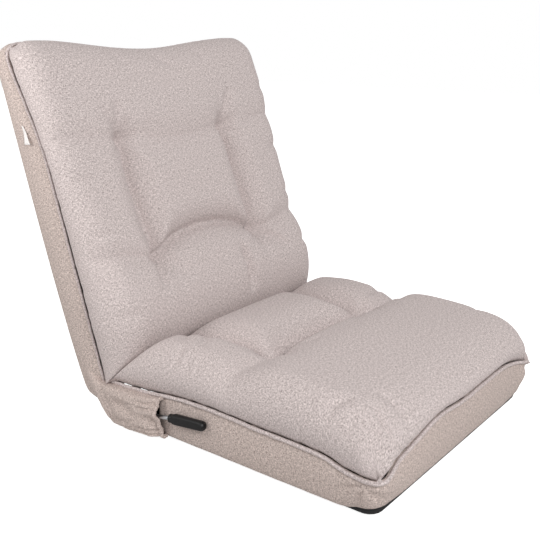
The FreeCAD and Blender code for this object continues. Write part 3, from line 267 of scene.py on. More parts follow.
def smooth(t):
    """Smoothstep: 3t² - 2t³ with t held between 0 and 1."""
    t = np.clip(t, 0, 1)
    return t * t * (3 - 2 * t)


def through(places, values, at):
    """A smooth curve through a few (place, value) pairs: cubic pieces with averaged slopes."""
    places = np.asarray(places, float)
    values = np.asarray(values, float)
    slope = np.gradient(values, places)
    at = np.clip(at, places[0], places[-1])
    index = np.clip(np.searchsorted(places, at) - 1, 0, len(places) - 2)
    span = places[index + 1] - places[index]
    t = (at - places[index]) / span
    return (
        values[index] * (2 * t**3 - 3 * t**2 + 1) + values[index + 1] * (3 * t**2 - 2 * t**3)
        + slope[index] * span * (t**3 - 2 * t**2 + t) + slope[index + 1] * span * (t**3 - t**2)
    )


def crease(x, y, path, width, depth, power=2.0, fade=0.0):
    """Depth of a crease along a path of (x, y) points: depth (1 - distance/width)^power, fading at its ends.

    The distance is the least one to the path's straight pieces, which are few.
    """
    path = np.asarray(path, float)
    lengths = np.linalg.norm(np.diff(path, axis=0), axis=1)
    starts = np.concatenate([[0], np.cumsum(lengths)])
    nearest = np.full(np.shape(x), 1e9)
    place = np.zeros(np.shape(x))
    for (x0, y0), (x1, y1), length, start in zip(path, path[1:], lengths, starts):
        t = np.clip(((x - x0) * (x1 - x0) + (y - y0) * (y1 - y0)) / length**2, 0, 1)
        gap = np.hypot(x - x0 - t * (x1 - x0), y - y0 - t * (y1 - y0))
        place = np.where(gap < nearest, start + t * length, place)
        nearest = np.minimum(nearest, gap)
    share = np.clip(1 - nearest / width, 0, 1) ** power
    if fade:
        share = share * smooth(place / fade) * smooth((starts[-1] - place) / fade)
    return depth * share


def deepest(creases):
    """Creases joined without adding up where they cross: the fourth root of their fourth powers' sum."""
    return sum(one**4 for one in creases) ** 0.25


def curve_points(ends, count=24):
    """A smooth path through a few points, as more points, by through() on its length."""
    ends = np.asarray(ends, float)
    place = np.concatenate([[0], np.cumsum(np.linalg.norm(np.diff(ends, axis=0), axis=1))])
    at = np.linspace(0, place[-1], count)
    return np.stack([through(place, ends[:, k], at) for k in range(ends.shape[1])], axis=-1)


def rim_arc(radius, bulge, middle, arc):
    """A cushion's profile: an even middle between two rims that start drawn in under their widest place.

    Each rim is an arc of an ellipse. At angle a, from -start to 90 degrees, it stands (radius + bulge) cos a
    out from the middle part's end, at the share (sin a + sin start) / (1 + sin start) of the height, where
    cos start = (radius - rim_tuck) / (radius + bulge). Returns places from -1 to 1 on the middle, outward
    steps and shares.
    """
    begin = -math.acos((radius - rim_tuck) / (radius + bulge))
    turn = np.linspace(begin, math.pi / 2, arc + 1)[:-1]
    step = (radius + bulge) * np.cos(turn)
    share = (np.sin(turn) - math.sin(begin)) / (1 - math.sin(begin))
    unit = np.concatenate([np.full(arc, -1.0), np.linspace(-1, 1, middle + 1), np.full(arc, 1.0)])
    edge = np.concatenate([-step, np.zeros(middle + 1), step[::-1]])
    return unit, edge, np.concatenate([share, np.ones(middle + 1), share[::-1]])


def far_rim(near, far, radius, bulge, middle, arc):
    """Places along a cushion to its far rim, which is that of rim_arc(), and their shares of the height."""
    _, step, share = rim_arc(radius, bulge, 1, arc)
    even = np.linspace(near, far - radius, middle + 1)
    places = np.concatenate([even, far - radius + step[arc + 2:]])
    return places, np.concatenate([np.ones(middle + 1), share[arc + 2:]])


def round_corner(x, y, half, front, radius):
    """Draw a rectangle's far corners in to an arc: inside each corner square, (a, b) becomes
    (a sqrt(1 - b²/2), b sqrt(1 - a²/2)), which takes the unit square to the unit quarter disc."""
    a = np.clip((np.abs(x) - (half - radius)) / radius, 0, None)
    b = np.clip((y - (front - radius)) / radius, 0, None)
    new_a = a * np.sqrt(1 - np.clip(b, 0, 1) ** 2 / 2)
    new_b = b * np.sqrt(1 - np.clip(a, 0, 1) ** 2 / 2)
    x = x + np.sign(x) * (new_a - a) * radius
    return x, y + (new_b - b) * radius


def mesh_piece(name, points, faces, uv, material):
    """An object from vertex places in millimetres, faces and a UV place in metres for each vertex."""
    mesh = bpy.data.meshes.new(name)
    mesh.from_pydata((points / 1000).tolist(), [], faces)
    layer = mesh.uv_layers.new(name="cloth")
    corners = np.empty(len(mesh.loops), dtype=np.int32)
    mesh.loops.foreach_get("vertex_index", corners)
    layer.data.foreach_set("uv", uv.astype(np.float32)[corners].ravel())
    mesh.polygons.foreach_set("use_smooth", np.ones(len(mesh.polygons), dtype=bool))
    mesh.materials.append(material)
    mesh.update()
    obj = bpy.data.objects.new(name, mesh)
    bpy.context.scene.collection.objects.link(obj)
    return obj


def grid_quads(index):
    """The quads between the vertex numbers of a grid. Those of a grid turned over face the other way."""
    corners = [index[:-1, :-1], index[:-1, 1:], index[1:, 1:], index[1:, :-1]]
    return np.stack(corners, axis=-1).reshape(-1, 4).tolist()


def surface(name, points, material):
    """A mesh of quads over a grid of points in millimetres, with its lengths along the grid as its UV map."""
    index = np.arange(points.shape[0] * points.shape[1]).reshape(points.shape[:2])
    return mesh_piece(name, points.reshape(-1, 3), grid_quads(index), arc_uv(points).reshape(-1, 2), material)


def arc_uv(points):
    """A UV map in metres from lengths along the grid: across from the middle column, along from row 0."""
    across = np.linalg.norm(np.diff(points, axis=1), axis=2)
    across = np.concatenate([np.zeros((len(points), 1)), np.cumsum(across, axis=1)], axis=1)
    across -= across[:, points.shape[1] // 2][:, None]
    along = np.linalg.norm(np.diff(points, axis=0), axis=2).mean(axis=1)
    along = np.concatenate([[0], np.cumsum(along)])
    return np.stack([across, np.broadcast_to(along[:, None], across.shape)], axis=-1) / 1000


def cushion(name, points, inward, material, turned=False):
    """A closed cushion: a crowned top over a grid, and an underside that its rim is drawn in to.

    The underside is the rim's loop, the same loop moved in by the inward vectors, and a middle point. A
    grid whose rows and columns run left-handed is turned, so that the faces point outwards all the same.
    """
    index = np.arange(points.shape[0] * points.shape[1]).reshape(points.shape[:2])
    if turned:
        index = index[:, ::-1]
    loop = np.concatenate([index[0, :-1], index[:-1, -1], index[-1, :0:-1], index[:0:-1, 0]])
    rim = points.reshape(-1, 3)[loop]
    inner = rim + inward(rim)
    centre = inner.mean(axis=0)
    ring_index = index.size + np.arange(len(loop))
    following = np.roll(ring_index, -1)
    middle = np.full(len(loop), index.size + len(loop))
    ring = np.stack([np.roll(loop, -1), loop, ring_index, following], axis=-1)
    fan = np.stack([following, ring_index, middle], axis=-1)
    places = np.concatenate([points.reshape(-1, 3), inner, centre[None]])
    uv = np.concatenate([arc_uv(points).reshape(-1, 2), inner[:, :2] / 1000, centre[None, :2] / 1000])
    faces = grid_quads(index) + ring.tolist() + fan.tolist()
    return mesh_piece(name, places, faces, uv, material)


def seat_seam(x, ahead):
    """Height of the seat's top seam: level along the sides, low at the front corners, high in the middle
    of the front. It is the side's height plus the front's rise, which comes in over the last stretch."""
    side = through(
        [0, 120, 215, 308, 389, 473, 522, 553, 575, 612],
        [76, 80, 90, 91, 87, 85, 81, 72, 70, 72], ahead,
    )
    front = through([-283, -221, -181, -102, 4, 77, 186, 283], [0, 12, 19, 33, 27, 29, 28, 8], x)
    return side + front * smooth((ahead - 500) / 110)


def corner_ear(x, ahead):
    """How far the seam is drawn out at the front corners: a hill with its top at each corner."""
    return np.exp(-((np.hypot(np.abs(x) - seat_half, ahead - seat_front) / 34) ** 2))


def gathers(at, longest, seed):
    """Uneven ripples along a seam: a sum of five sines, each 0.62 of the last one's length, that stays about
    between -1 and 1, with its own phases and a slow swell in its strength."""
    phases = np.random.default_rng(seed).uniform(0, 2 * math.pi, 6)
    waves = 0
    for step in range(5):
        length = longest * 0.62**step
        waves = waves + np.sin(2 * math.pi * at / length + phases[step]) / (1 + 0.35 * step)
    return waves / 3.2 * (0.65 + 0.35 * np.sin(2 * math.pi * at / (longest * 4.3) + phases[5]))


def seam_ripple(x, y, share_x, share_y, longest, seeds, fade):
    """Gathers beside a cushion's seam, along whichever rim is nearer. They die out up the rim as
    e^(-share / fade), and the two sides get different ones."""
    share = share_x[None, :] * share_y[:, None]
    far_edge = gathers(x, longest, seeds[0])
    sides = gathers(y + 300 * np.sign(x), longest, seeds[1])
    nearer = np.where(share_y[:, None] < share_x[None, :], far_edge, sides)
    return nearer * np.exp(-share / fade) * (share < 1)


def puckers(x, y, centre, folds, reach, seed):
    """Folds that run out from a sewn point: cos of uneven turns round it, fading over the reach."""
    phases = np.random.default_rng(seed).uniform(0, 2 * math.pi, 2)
    angle = np.arctan2(y - centre[1], x - centre[0])
    away = np.hypot(x - centre[0], y - centre[1])
    wave = np.cos(folds * angle + phases[0] + 0.8 * np.sin(2 * angle + phases[1]))
    return wave * np.exp(-((away / reach) ** 1.4)) * smooth(away / 14)


def lesser(first, second):
    """The lesser of two heights, rounded off where they meet: -6 log(e^(-first / 6) + e^(-second / 6))."""
    return -np.log(np.exp(-first / 6) + np.exp(-second / 6)) * 6


def short_creases(x, y, paths):
    """Small creases joined by their greatest depth. Each has a width, a depth and points, and fades at its
    ends."""
    total = np.zeros(np.shape(x))
    for width, depth, *points in paths:
        length = math.dist(points[0], points[-1])
        total = np.maximum(total, crease(x, y, curve_points(points, 10), width, depth, 1.7, length * 0.4))
    return total


def seat_surface(middle, arc, rows_middle, rows_arc):
    """The seat pad's top over (across, ahead): seam + share × (crown - creases - seam).

    The rims at the sides and the front are those of rim_arc(). The rear face lies on the sloping plane where
    the back pad rests, so the height is the lesser of the crown and that plane, rounded off.
    """
    unit, edge, share_x = rim_arc(seat_side_rim, 9, middle, arc)
    ahead, share_y = far_rim(seat_rear, seat_front, seat_front_rim, 10, rows_middle, rows_arc)
    gx, gy = np.meshgrid(unit * (seat_half - seat_side_rim) + edge, ahead)
    share = share_x[None, :] * share_y[:, None]
    crown = through(
        [40, 75, 95, 115, 145, 180, 215, 262, 317, 352, 400, 450, 500, 554, 612],
        [146, 154, 162, 170, 177, 181, 183, 180, 175, 178, 186, 186, 182, 174, 160], gy,
    )
    tuft_x, tuft_y = seat_tuft
    channels = []
    lines = []
    for side in (-1, 1):
        mirror = np.array([side, 1])
        back = curve_points([(156, 60), (158, 120), (151, 210), seat_tuft]) * mirror
        channels.append(crease(gx, gy, back, 64, 33, 2.1))
        lines.append(crease(gx, gy, back, 16, 9, 1.4, 50))
        out = curve_points([seat_tuft, (205, 330), (250, 326), (300, 318)]) * mirror
        channels.append(crease(gx, gy, out, 62, 20 if side > 0 else 13, 2.0))
        tuft = np.hypot(gx - side * tuft_x, gy - tuft_y)
        channels.append(42 * np.exp(-((tuft / 26) ** 1.4)))
    across = curve_points([(-tuft_x, tuft_y), (-95, 302), (-20, 296), (60, 297), seat_tuft])
    channels.append(crease(gx, gy, across, 66, 36, 2.1))
    lines.append(crease(gx, gy, across, 17, 8, 1.4, 40))
    small = short_creases(gx, gy, [
        (17, 10.5, (-300, 516), (-262, 528), (-238, 550)), (15, 9, (-300, 560), (-262, 566)),
        (16, 12, (-262, 640), (-246, 600), (-232, 560)), (15, 7.5, (-205, 640), (-197, 590), (-196, 545)),
        (15, 10.5, (-290, 640), (-268, 596), (-250, 560)), (18, 7.5, (296, 540), (262, 520), (240, 500)),
        (16, 7.5, (262, 640), (250, 590), (246, 550)), (18, 9, (200, 300), (250, 285), (300, 280)),
        (20, 9, (205, 345), (255, 352), (300, 350)), (22, 6, (-166, 130), (-215, 165), (-252, 190)),
        (20, 6, (-160, 170), (-212, 215), (-250, 238)), (14, 9, (-300, 214), (-268, 205), (-240, 190)),
        (13, 7.5, (-300, 240), (-262, 226)), (13, 6, (-300, 262), (-270, 250)),
        (24, 6, (-120, 330), (-90, 350), (-50, 362)), (24, 6, (120, 334), (80, 352), (40, 360)),
    ])
    swell = 1.5 * np.sin(gx / 61 + 1) * np.sin(gy / 57)
    height = crown - deepest(channels) - np.maximum.reduce(lines) - small + swell
    for side in (-1, 1):
        height = height - 3.0 * puckers(gx, gy, (side * tuft_x, tuft_y), 7, 46, 5 + side)
    seam = seat_seam(gx, gy)
    fold_plane = 55.5 + (gy - 17)
    z = lesser(seam + share * (height - seam), fold_plane)
    z = np.maximum(z, np.minimum(seam, fold_plane))
    ripple = 2.4 * seam_ripple(gx, gy, share_x, share_y, 46, (3, 4), 0.22)
    gx = gx + np.sign(gx) * ripple * (share_x[None, :] < 1)
    gy = gy + ripple * (share_y[:, None] < 1)
    gx, gy = round_corner(gx, gy, seat_half, seat_front, seat_corner)
    ear = corner_ear(gx, gy) * (1 - share) ** 4
    gx = gx + np.sign(gx) * ear_across * ear
    gy = gy + ear_ahead * ear
    return np.stack([gx, -gy, z], axis=-1)


def seat_tuck(rim):
    """The seat pad's rim drawn in by 14 mm at the sides and 12 mm at the front, and down by 6 mm."""
    shift = np.zeros_like(rim)
    shift[:, 0] = -14 * np.sign(rim[:, 0])
    shift[:, 1] = np.where(rim[:, 1] < -560, 12.0, 0.0)
    shift[:, 2] = -6
    return shift


seat_pad = cushion("seat_quilt", seat_surface(100, 26, 116, 28), seat_tuck, cover_cloth, turned=True)
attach(seat_pad, "seat")
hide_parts("seat_pad", "seat_foam_core")


# The seat's side panel: a lined strip of the cover cloth round the front and both sides, closed at the top
# by the piped seam and drawn in under the edge of the base cloth.
panel_half = 280.0
panel_corner = 32.0
panel_start = 166.0
curl_share = 0.3


def edge_path(half, far, radius, flare, near, count):
    """Points round a piece's edge and their outward directions: along one side from near, round a corner
    arc, across the far edge, round the other corner and back, spaced evenly along the length.

    The sides lean out by the angle flare and come to half at the corners, whose arcs turn by 90 degrees less
    the flare. Returns places across and along, the two parts of the outward directions, and the length so
    far.
    """
    rise = far - radius - near
    run = rise / math.cos(flare)
    bend = radius * (math.pi / 2 - flare)
    at = np.linspace(0, 2 * (run + bend + half - radius), count)
    first = at <= at[-1] / 2
    mirror = np.where(first, at, at[-1] - at)
    sign = np.where(first, -1, 1)
    share = np.clip(mirror / run, 0, 1)
    beyond = np.clip(mirror - run - bend, 0, None)
    turn = np.where(beyond > 0, math.pi / 2, np.clip(mirror - run, 0, bend) / radius - flare)
    leaning = half - rise * math.tan(flare) * (1 - share)
    rounded = half - radius + radius * np.cos(turn) - beyond
    across = np.where(mirror <= run, leaning, rounded)
    along = np.where(mirror <= run, near + rise * share, far - radius + radius * np.sin(turn))
    return across * sign, along, np.cos(turn) * sign, np.sin(turn), at


def seat_path(inset, rear, count):
    """Points round the seat seen from above, their outward directions and the length so far."""
    half, front, corner = panel_half - inset, seat_front - inset, panel_corner - inset
    x, ahead, out_x, out_ahead, at = edge_path(half, front, corner, 0.0, rear, count)
    return np.stack([x, -ahead], axis=-1), np.stack([out_x, -out_ahead], axis=-1), at


def seat_band_surface(count, rows):
    """The side panel over (round the seat, up). Its lowest part curls under along a quarter of an ellipse,
    from lift to knee. It bulges by 5.5 sin(pi s), where s goes from 0 at t = 0.15 to 1 at the seam."""
    place, out, at = seat_path(0, panel_start, count)
    t = np.linspace(0, 1, rows)
    across, ahead = place[:, :1], -place[:, 1:]
    seam = seat_seam(across, ahead)
    front = smooth((ahead - 540) / 60)
    corner = np.exp(-((np.hypot(np.abs(across) - seat_half, ahead - seat_front) / 60) ** 2))
    lift = 5.5 + 9 * front + corner
    knee = 18 + 9 * front + 4 * corner
    curl = np.clip(t / curl_share, 0, 1) * math.pi / 2
    inset = (14 - 4 * front + 8 * corner) * (1 - np.sin(curl))
    curled = lift + (knee - lift) * (1 - np.cos(curl))
    z = np.where(t < curl_share, curled, knee + (seam - knee) * (t - curl_share) / (1 - curl_share))
    bulge = 5.5 * np.sin(math.pi * np.clip((t - 0.15) / 0.85, 0, 1)) - 1.0 - 3.5 * smooth((t - 0.93) / 0.07)
    waves = 1.3 * gathers(at, 150, 21)[:, None] * np.sin(math.pi * t)
    gathered = 2.0 * gathers(at, 40, 22)[:, None] * t**4
    fold_at = 422
    folds = puckers(at[:, None], seam * t, (fold_at, 60), 6, 60, 23)
    folds = folds + puckers(at[:, None], seam * t, (at[-1] - fold_at, 60), 6, 60, 24)
    offset = bulge - inset + waves + gathered - 4 * folds * np.sin(math.pi * t)
    ear = corner_ear(across, ahead) * t**2
    xy = place[:, None, :] + out[:, None, :] * offset[..., None]
    xy = xy + np.stack([np.sign(across) * ear_across * ear, -ear_ahead * ear], axis=-1)
    return np.concatenate([xy, z[..., None]], axis=-1)


def thicken(obj, name, thickness, offset):
    """Give a cloth its thickness in metres: offset -1 puts it behind the faces, 0 about them, 1 before."""
    layer = obj.modifiers.new(name, "SOLIDIFY")
    layer.thickness = thickness
    layer.offset = offset


seat_band = surface("seat_side_panel", seat_band_surface(420, 26), shaded_side_cloth)
thicken(seat_band, "lining", 0.003, -1)
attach(seat_band, "seat")
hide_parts("seat_side_band")


# The black base cloth: non-woven, stretched flat under the seat with its edge turned up inside the panel.
def felt_material():
    """Black non-woven cloth: fibres pressed in all directions, seen as a fine dark mottle."""
    material, tree, shader = new_material("black_felt", 0.95)
    vector = coordinates(tree, "Object")
    fibres = noise_node(tree, vector, 900, 3)
    stops = [(0.3, linear(14, 14, 15)), (0.7, linear(34, 34, 36))]
    tint_node(tree, fibres.outputs["Fac"], stops, shader)
    bump_node(tree, fibres.outputs["Fac"], 0.4, 0.0004, shader)
    return material


black_felt = felt_material()


def base_cloth(count, rows):
    """The base cloth: rings of the seat's outline, then straight strips across from side to side. The outer
    half of the rings curls up from the floor along a quarter of an ellipse, 20 mm across and 19 mm high."""
    rings = []
    for t in np.linspace(0, 1, rows):
        turned = min(t / 0.5, 1) * math.pi / 2
        inset = 3 + 20 * (1 - math.cos(turned)) + 14 * max(t - 0.5, 0)
        place, _, _ = seat_path(inset, 12, count)
        rise = 19 * (1 - math.sin(turned)) * smooth((-place[:, 1] - 20) / 60)
        rings.append(np.concatenate([place, (0.4 + rise)[:, None]], axis=-1))
    points = np.concatenate(rings)
    index = np.arange(rows * count).reshape(rows, count)
    half = count // 2
    left = index[-1, :half]
    right = index[-1, :half:-1]
    strips = np.stack([left[:-1], right[:-1], right[1:], left[1:]], axis=-1)
    tip = [[int(left[-1]), int(right[-1]), int(index[-1, half])]]
    faces = grid_quads(index[::-1]) + strips.tolist() + tip
    return mesh_piece("seat_underside", points, faces, points[:, :2] / 1000, black_felt)


underside = base_cloth(221, 9)
thicken(underside, "thickness", 0.0012, 1)
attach(underside, "seat")
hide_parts("seat_base_cloth")


# The piping in the seat's top seam: a cord of the cover cloth sewn in all round, from sleeve to sleeve.
def closed_cord(name, path, radius, sides, material):
    """A round cord round a path, with both ends closed: path + radius (cos a · side + sin a · rise).

    The side and rise vectors are square to the path's direction. The radius may change along it.
    """
    along = np.gradient(path, axis=0)
    along /= np.linalg.norm(along, axis=1)[:, None]
    rise = np.array([0.0, 0.0, 1.0]) - along * along[:, 2:3]
    rise /= np.linalg.norm(rise, axis=1)[:, None]
    side = np.cross(along, rise)
    turn = np.linspace(0, 2 * math.pi, sides + 1)[:, None]
    ring = side[:, None, :] * np.cos(turn) + rise[:, None, :] * np.sin(turn)
    points = path[:, None, :] + ring * radius[:, None, None]
    uv = arc_uv(points)[:, :-1]
    index = np.arange(len(path) * sides).reshape(len(path), sides)
    wrapped = np.concatenate([index, index[:, :1]], axis=1)
    faces = grid_quads(wrapped[::-1]) + [index[0].tolist(), index[-1, ::-1].tolist()]
    return mesh_piece(name, points[:, :-1].reshape(-1, 3), faces, uv.reshape(-1, 2), material)


def seat_cord_path(count):
    """The cord's line just outside the panel, at the seam's height and drawn out with it at the corners, and
    the length so far. Small gathers move it up and outwards."""
    place, out, at = seat_path(-3, 26, count)
    x, ahead = place[:, 0], -place[:, 1]
    height = seat_seam(x, ahead) + 0.5 + 0.9 * gathers(at, 60, 31)
    ear = corner_ear(x, ahead)
    place = place + np.stack([np.sign(x) * ear_across * ear, -ear_ahead * ear], axis=-1)
    place = place + out * (0.8 * gathers(at, 44, 32))[:, None]
    return np.concatenate([place, height[:, None]], axis=-1), at


path, at = seat_cord_path(520)
seat_cord = closed_cord("seat_piping", path, 3.4 + 0.3 * gathers(at, 16, 33), 12, cover_cloth)
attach(seat_cord, "seat")
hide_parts("seat_welt")


# The back cover's front: a quilted pad with a lumbar roll under an arched channel, two rows of tufts with
# channels between them, and a soft head roll that thins out to the top seam.
lean = math.radians(76.47)
up_axis = np.array([0, math.cos(lean), math.sin(lean)])
out_axis = np.array([0, -math.sin(lean), math.cos(lean)])
hinge_axis = np.array([0.0, 0.0, 48.0])
back_low = 3.0
back_top = 658.0
back_half = 310.0
back_flare = 26.0
flare_start = 54.0
flare_length = 558.0
back_corner = 30.0
back_side_rim = 40.0
back_top_rim = 52.0
tuft_half = 147.0
tuft_low = 228.0
tuft_high = 461.0


def on_back(x, up, out):
    """Points of the back in the row frame: hinge axis + x + up · up_axis + out · out_axis."""
    across = np.zeros((*np.shape(x), 3))
    across[..., 0] = x
    return hinge_axis + across + np.asarray(up)[..., None] * up_axis + np.asarray(out)[..., None] * out_axis


def back_width(up):
    """Half the back's width: it flares evenly from the hinge to the top corners."""
    return back_half - back_flare + back_flare * np.clip((up - flare_start) / flare_length, 0, 1)


def back_rear(up):
    """How far out the rear panel lies: flat at -47, and drawn forward round the hinges at its lower end."""
    return through([-16, -4, 8, 24, 60, 110, 174, 660], [-8, -30, -36.5, -39, -42, -45, -47, -47], up)


def seam_out(up):
    """How far out the front seam lies: at 18, and further back towards the top as the pad wraps over."""
    return 18 - 31 * smooth((up - 430) / 220)


def sagged(x, up):
    """Places up the back with the top edge's sag: 19 mm in the middle as a power of a cosine, and coming in
    from 420 mm up."""
    dip = 19 * np.cos(np.clip(np.abs(x) / 250, 0, 1) * math.pi / 2) ** 1.5
    return up - dip * smooth((up - 420) / 238)


def back_surface(middle, arc, rows_middle, rows_arc):
    """The back pad's front over (across, up): seam + share × (crown - creases - seam).

    The rims are those of rim_arc(), fuller beside the lumbar roll. The lower face lies on the sloping plane
    where it rests on the seat pad.
    """
    unit, edge, share_x = rim_arc(back_side_rim, 9, middle, arc)
    up, share_y = far_rim(back_low, back_top, back_top_rim, 1, rows_middle, rows_arc)
    gx = unit[None, :] * (back_width(up)[:, None] - back_side_rim) + edge[None, :]
    gy = np.broadcast_to(up[:, None], gx.shape)
    share = share_x[None, :] * share_y[:, None]
    crown = through(
        [0, 45, 75, 95, 120, 157, 200, 240, 300, 363, 430, 461, 520, 580, 612, 658],
        [108, 112, 122, 130, 136, 137, 127, 116, 103, 92, 84, 81, 75, 64, 58, 48], gy,
    )
    channels = []
    lines = []
    for side in (-1, 1):
        mirror = np.array([side, 1])
        column = curve_points([(tuft_half, tuft_high), (151, 380), (150, 300), (tuft_half, tuft_low)])
        column = column * mirror
        channels.append(crease(gx, gy, column, 60, 38, 2.0))
        lines.append(crease(gx, gy, column, 15, 9, 1.4, 30))
        for level, deep in ((tuft_high, 42), (tuft_low, 54)):
            tuft = np.hypot(gx - side * tuft_half, gy - level)
            channels.append(deep * np.exp(-((tuft / 27) ** 1.5)))
        out = curve_points([(tuft_half, tuft_low), (200, 236), (250, 246), (310, 252)]) * mirror
        channels.append(crease(gx, gy, out, 50, 15, 2.0))
        out = curve_points([(tuft_half, tuft_high), (200, 462), (260, 470), (316, 474)]) * mirror
        channels.append(crease(gx, gy, out, 50, 10, 2.0))
    arch = curve_points([(-tuft_half, tuft_low), (-90, 254), (0, 266), (90, 254), (tuft_half, tuft_low)])
    channels.append(crease(gx, gy, arch, 60, 37, 2.1))
    lines.append(crease(gx, gy, arch, 15, 8, 1.4, 30))
    line = curve_points([(-tuft_half, tuft_high), (-70, 452), (0, 449), (70, 452), (tuft_half, tuft_high)])
    channels.append(crease(gx, gy, line, 76, 18, 1.9))
    small = short_creases(gx, gy, [
        (20, 16.9, (58, 226), (66, 160), (54, 96)), (24, 11.7, (-150, 222), (-166, 196), (-186, 168)),
        (22, 7.8, (-140, 215), (-120, 190), (-96, 172)), (22, 9.1, (158, 220), (182, 196), (214, 176)),
        (26, 10.4, (-150, 470), (-154, 510), (-146, 548)), (26, 11.7, (148, 470), (164, 515), (190, 552)),
        (22, 5.2, (-152, 470), (-178, 505), (-205, 530)), (20, 5.2, (142, 474), (140, 520), (128, 560)),
        (16, 5.2, (-120, 650), (-105, 625), (-82, 604)), (16, 5.2, (-20, 650), (14, 622), (52, 600)),
        (15, 3.9, (110, 650), (124, 628), (128, 606)), (20, 5.2, (-310, 400), (-270, 394), (-236, 388)),
        (20, 7.8, (322, 405), (286, 398), (246, 396)), (18, 6.5, (322, 300), (288, 292), (250, 288)),
        (18, 5.2, (-310, 300), (-275, 292), (-240, 296)), (20, 7.8, (322, 180), (285, 176), (250, 184)),
        (20, 5.2, (-312, 150), (-276, 142), (-240, 146)), (18, 5.2, (322, 540), (290, 534), (262, 528)),
        (18, 5.2, (-176, 340), (-168, 300), (-160, 260)), (18, 3.9, (-310, 560), (-280, 556), (-250, 546)),
    ])
    swell = 1.6 * np.sin(gx / 67 + 2) * np.sin(gy / 63 + 1)
    height = crown - deepest(channels) - np.maximum.reduce(lines) - small + swell
    for side in (-1, 1):
        height = height - 4.5 * puckers(gx, gy, (side * tuft_half, tuft_low), 7, 52, 40 + side)
        height = height - 3.5 * puckers(gx, gy, (side * tuft_half, tuft_high), 7, 48, 44 + side)
    seam = seam_out(gy)
    fold_plane = 17.6 + (gy - 4.8) * 1.64
    n = np.maximum(lesser(seam + share * (height - seam), fold_plane), seam - 6)
    fuller = 9 * np.exp(-(((gy - 140) / 70) ** 2)) * np.sin(math.pi * np.clip(share, 0, 1))
    ripple = 2.2 * seam_ripple(gx, gy, share_x, share_y, 52, (6, 7), 0.24)
    gx = gx + np.sign(gx) * (fuller + ripple) * (share_x[None, :] < 1)
    gy = gy + ripple * (share_y[:, None] < 1)
    gx, gy = round_corner(gx, gy, back_half, back_top, back_corner)
    return on_back(gx, sagged(gx, gy), n)


def back_tuck(rim):
    """The back pad's rim drawn in by 12 mm at the sides, back by 6 mm, and down by 8 mm at the top."""
    shift = np.zeros_like(rim)
    shift[:, 0] = -np.sign(rim[:, 0]) * 12
    return shift - 6 * out_axis - 8 * up_axis * smooth((rim[:, 2] - 600) / 60)[:, None]


back_pad = cushion("back_quilt", back_surface(100, 26, 118, 24), back_tuck, cover_cloth)
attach(back_pad, "backrest")
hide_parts("back_pad", "back_foam_core")


# The back's side panel: a lined strip up one side, over the top and down the other, between the front seam
# and the rear panel.
def back_path(inset, low, count):
    """Points round the back seen from the front, their outward directions and the length so far."""
    half, top, corner = back_half - inset, back_top - inset, back_corner - inset
    x, up, out_x, out_up, at = edge_path(half, top, corner, math.atan(back_flare / flare_length), low, count)
    return x, sagged(x, up), out_x, out_up, at


def back_band_surface(count, rows):
    """The side panel over (round the back, from front to rear), bulging by 5 sin(pi t) and drawn in by 3 at
    the front seam."""
    x, up, out_x, out_up, at = back_path(0, -12, count)
    t = np.linspace(0, 1, rows)
    front = seam_out(up)[:, None] - 1
    depth = front + (back_rear(up)[:, None] - front) * t
    waves = 1.4 * gathers(at, 170, 51)[:, None] * np.sin(math.pi * t)
    gathered = 1.2 * gathers(at, 42, 52)[:, None] * (1 - t) ** 3
    offset = 5 * np.sin(math.pi * t) - 1.5 + waves + gathered - 3 * smooth((0.09 - t) / 0.09)
    return on_back(x[:, None] + out_x[:, None] * offset, up[:, None] + out_up[:, None] * offset, depth)


back_band = surface("back_side_panel", back_band_surface(440, 18), shaded_side_cloth)
thicken(back_band, "lining", 0.003, -1)
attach(back_band, "backrest")
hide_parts("back_side_band")


# The back's rear panel: one flat piece of the cover cloth, drawn over the frame from seam to seam.
def rear_surface(columns, rows):
    """The rear panel over (across, up), from its left to its right. It swells back by 4 (1 - x²)(1 - y²),
    with x and y from -1 to 1, and wrinkles slightly."""
    unit = np.linspace(1, -1, columns)
    up = np.linspace(-12, back_top - 1.5, rows)
    corner = np.clip((up - (back_top - back_corner)) / back_corner, 0, 1)
    half = back_width(up) - 1.5 - back_corner * (1 - np.sqrt(1 - corner**2))
    gx = unit[None, :] * half[:, None]
    gy = np.broadcast_to(up[:, None], gx.shape)
    flat = 1 - (gx / 312) ** 2
    swell = 4 * flat * (1 - ((gy + 12) / (back_top + 10) * 2 - 1) ** 2)
    wrinkle = 0.8 * np.sin(gx / 47 + gy / 90) * np.sin(gy / 61) * flat
    return on_back(gx, sagged(gx, gy), back_rear(gy) + 0.5 - swell - wrinkle)


rear_panel = surface("back_rear_cloth", rear_surface(70, 80), shaded_side_cloth)
thicken(rear_panel, "lining", 0.0016, -1)
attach(rear_panel, "backrest")
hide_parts("back_rear_panel")


# The piping in the back's front seam, up both sides and over the top.
def back_cord_path(count):
    """The cord's line in the front seam and the length so far. It stands out 2.5 mm more along the top."""
    x, up, out_x, out_up, at = back_path(0.5, -2, count)
    offset = 0.8 * gathers(at, 60, 61) + 2.5 * smooth((up - 560) / 70)
    depth = seam_out(up) + 0.5 + 0.7 * gathers(at, 48, 62)
    return on_back(x + out_x * offset, up + out_up * offset, depth), at


path, at = back_cord_path(520)
back_cord = closed_cord("back_piping", path, 2.6 + 0.25 * gathers(at, 16, 63), 12, cover_cloth)
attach(back_cord, "backrest")
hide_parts("back_welt")


# The hinge sleeves: the back cover runs on over each hinge as a loose sleeve of cloth, open at the front
# and gathered there on an elastic edge. It keeps one fixed shape round the joint, from the back to the seat.
sleeve_end = 174.0


def hill(y, z, centre, spread):
    """A hill of height 1 at a centre: e to the power of minus the sum of (distance / spread)² in y and z."""
    return np.exp(-(((y - centre[0]) / spread[0]) ** 2) - ((z - centre[1]) / spread[1]) ** 2)


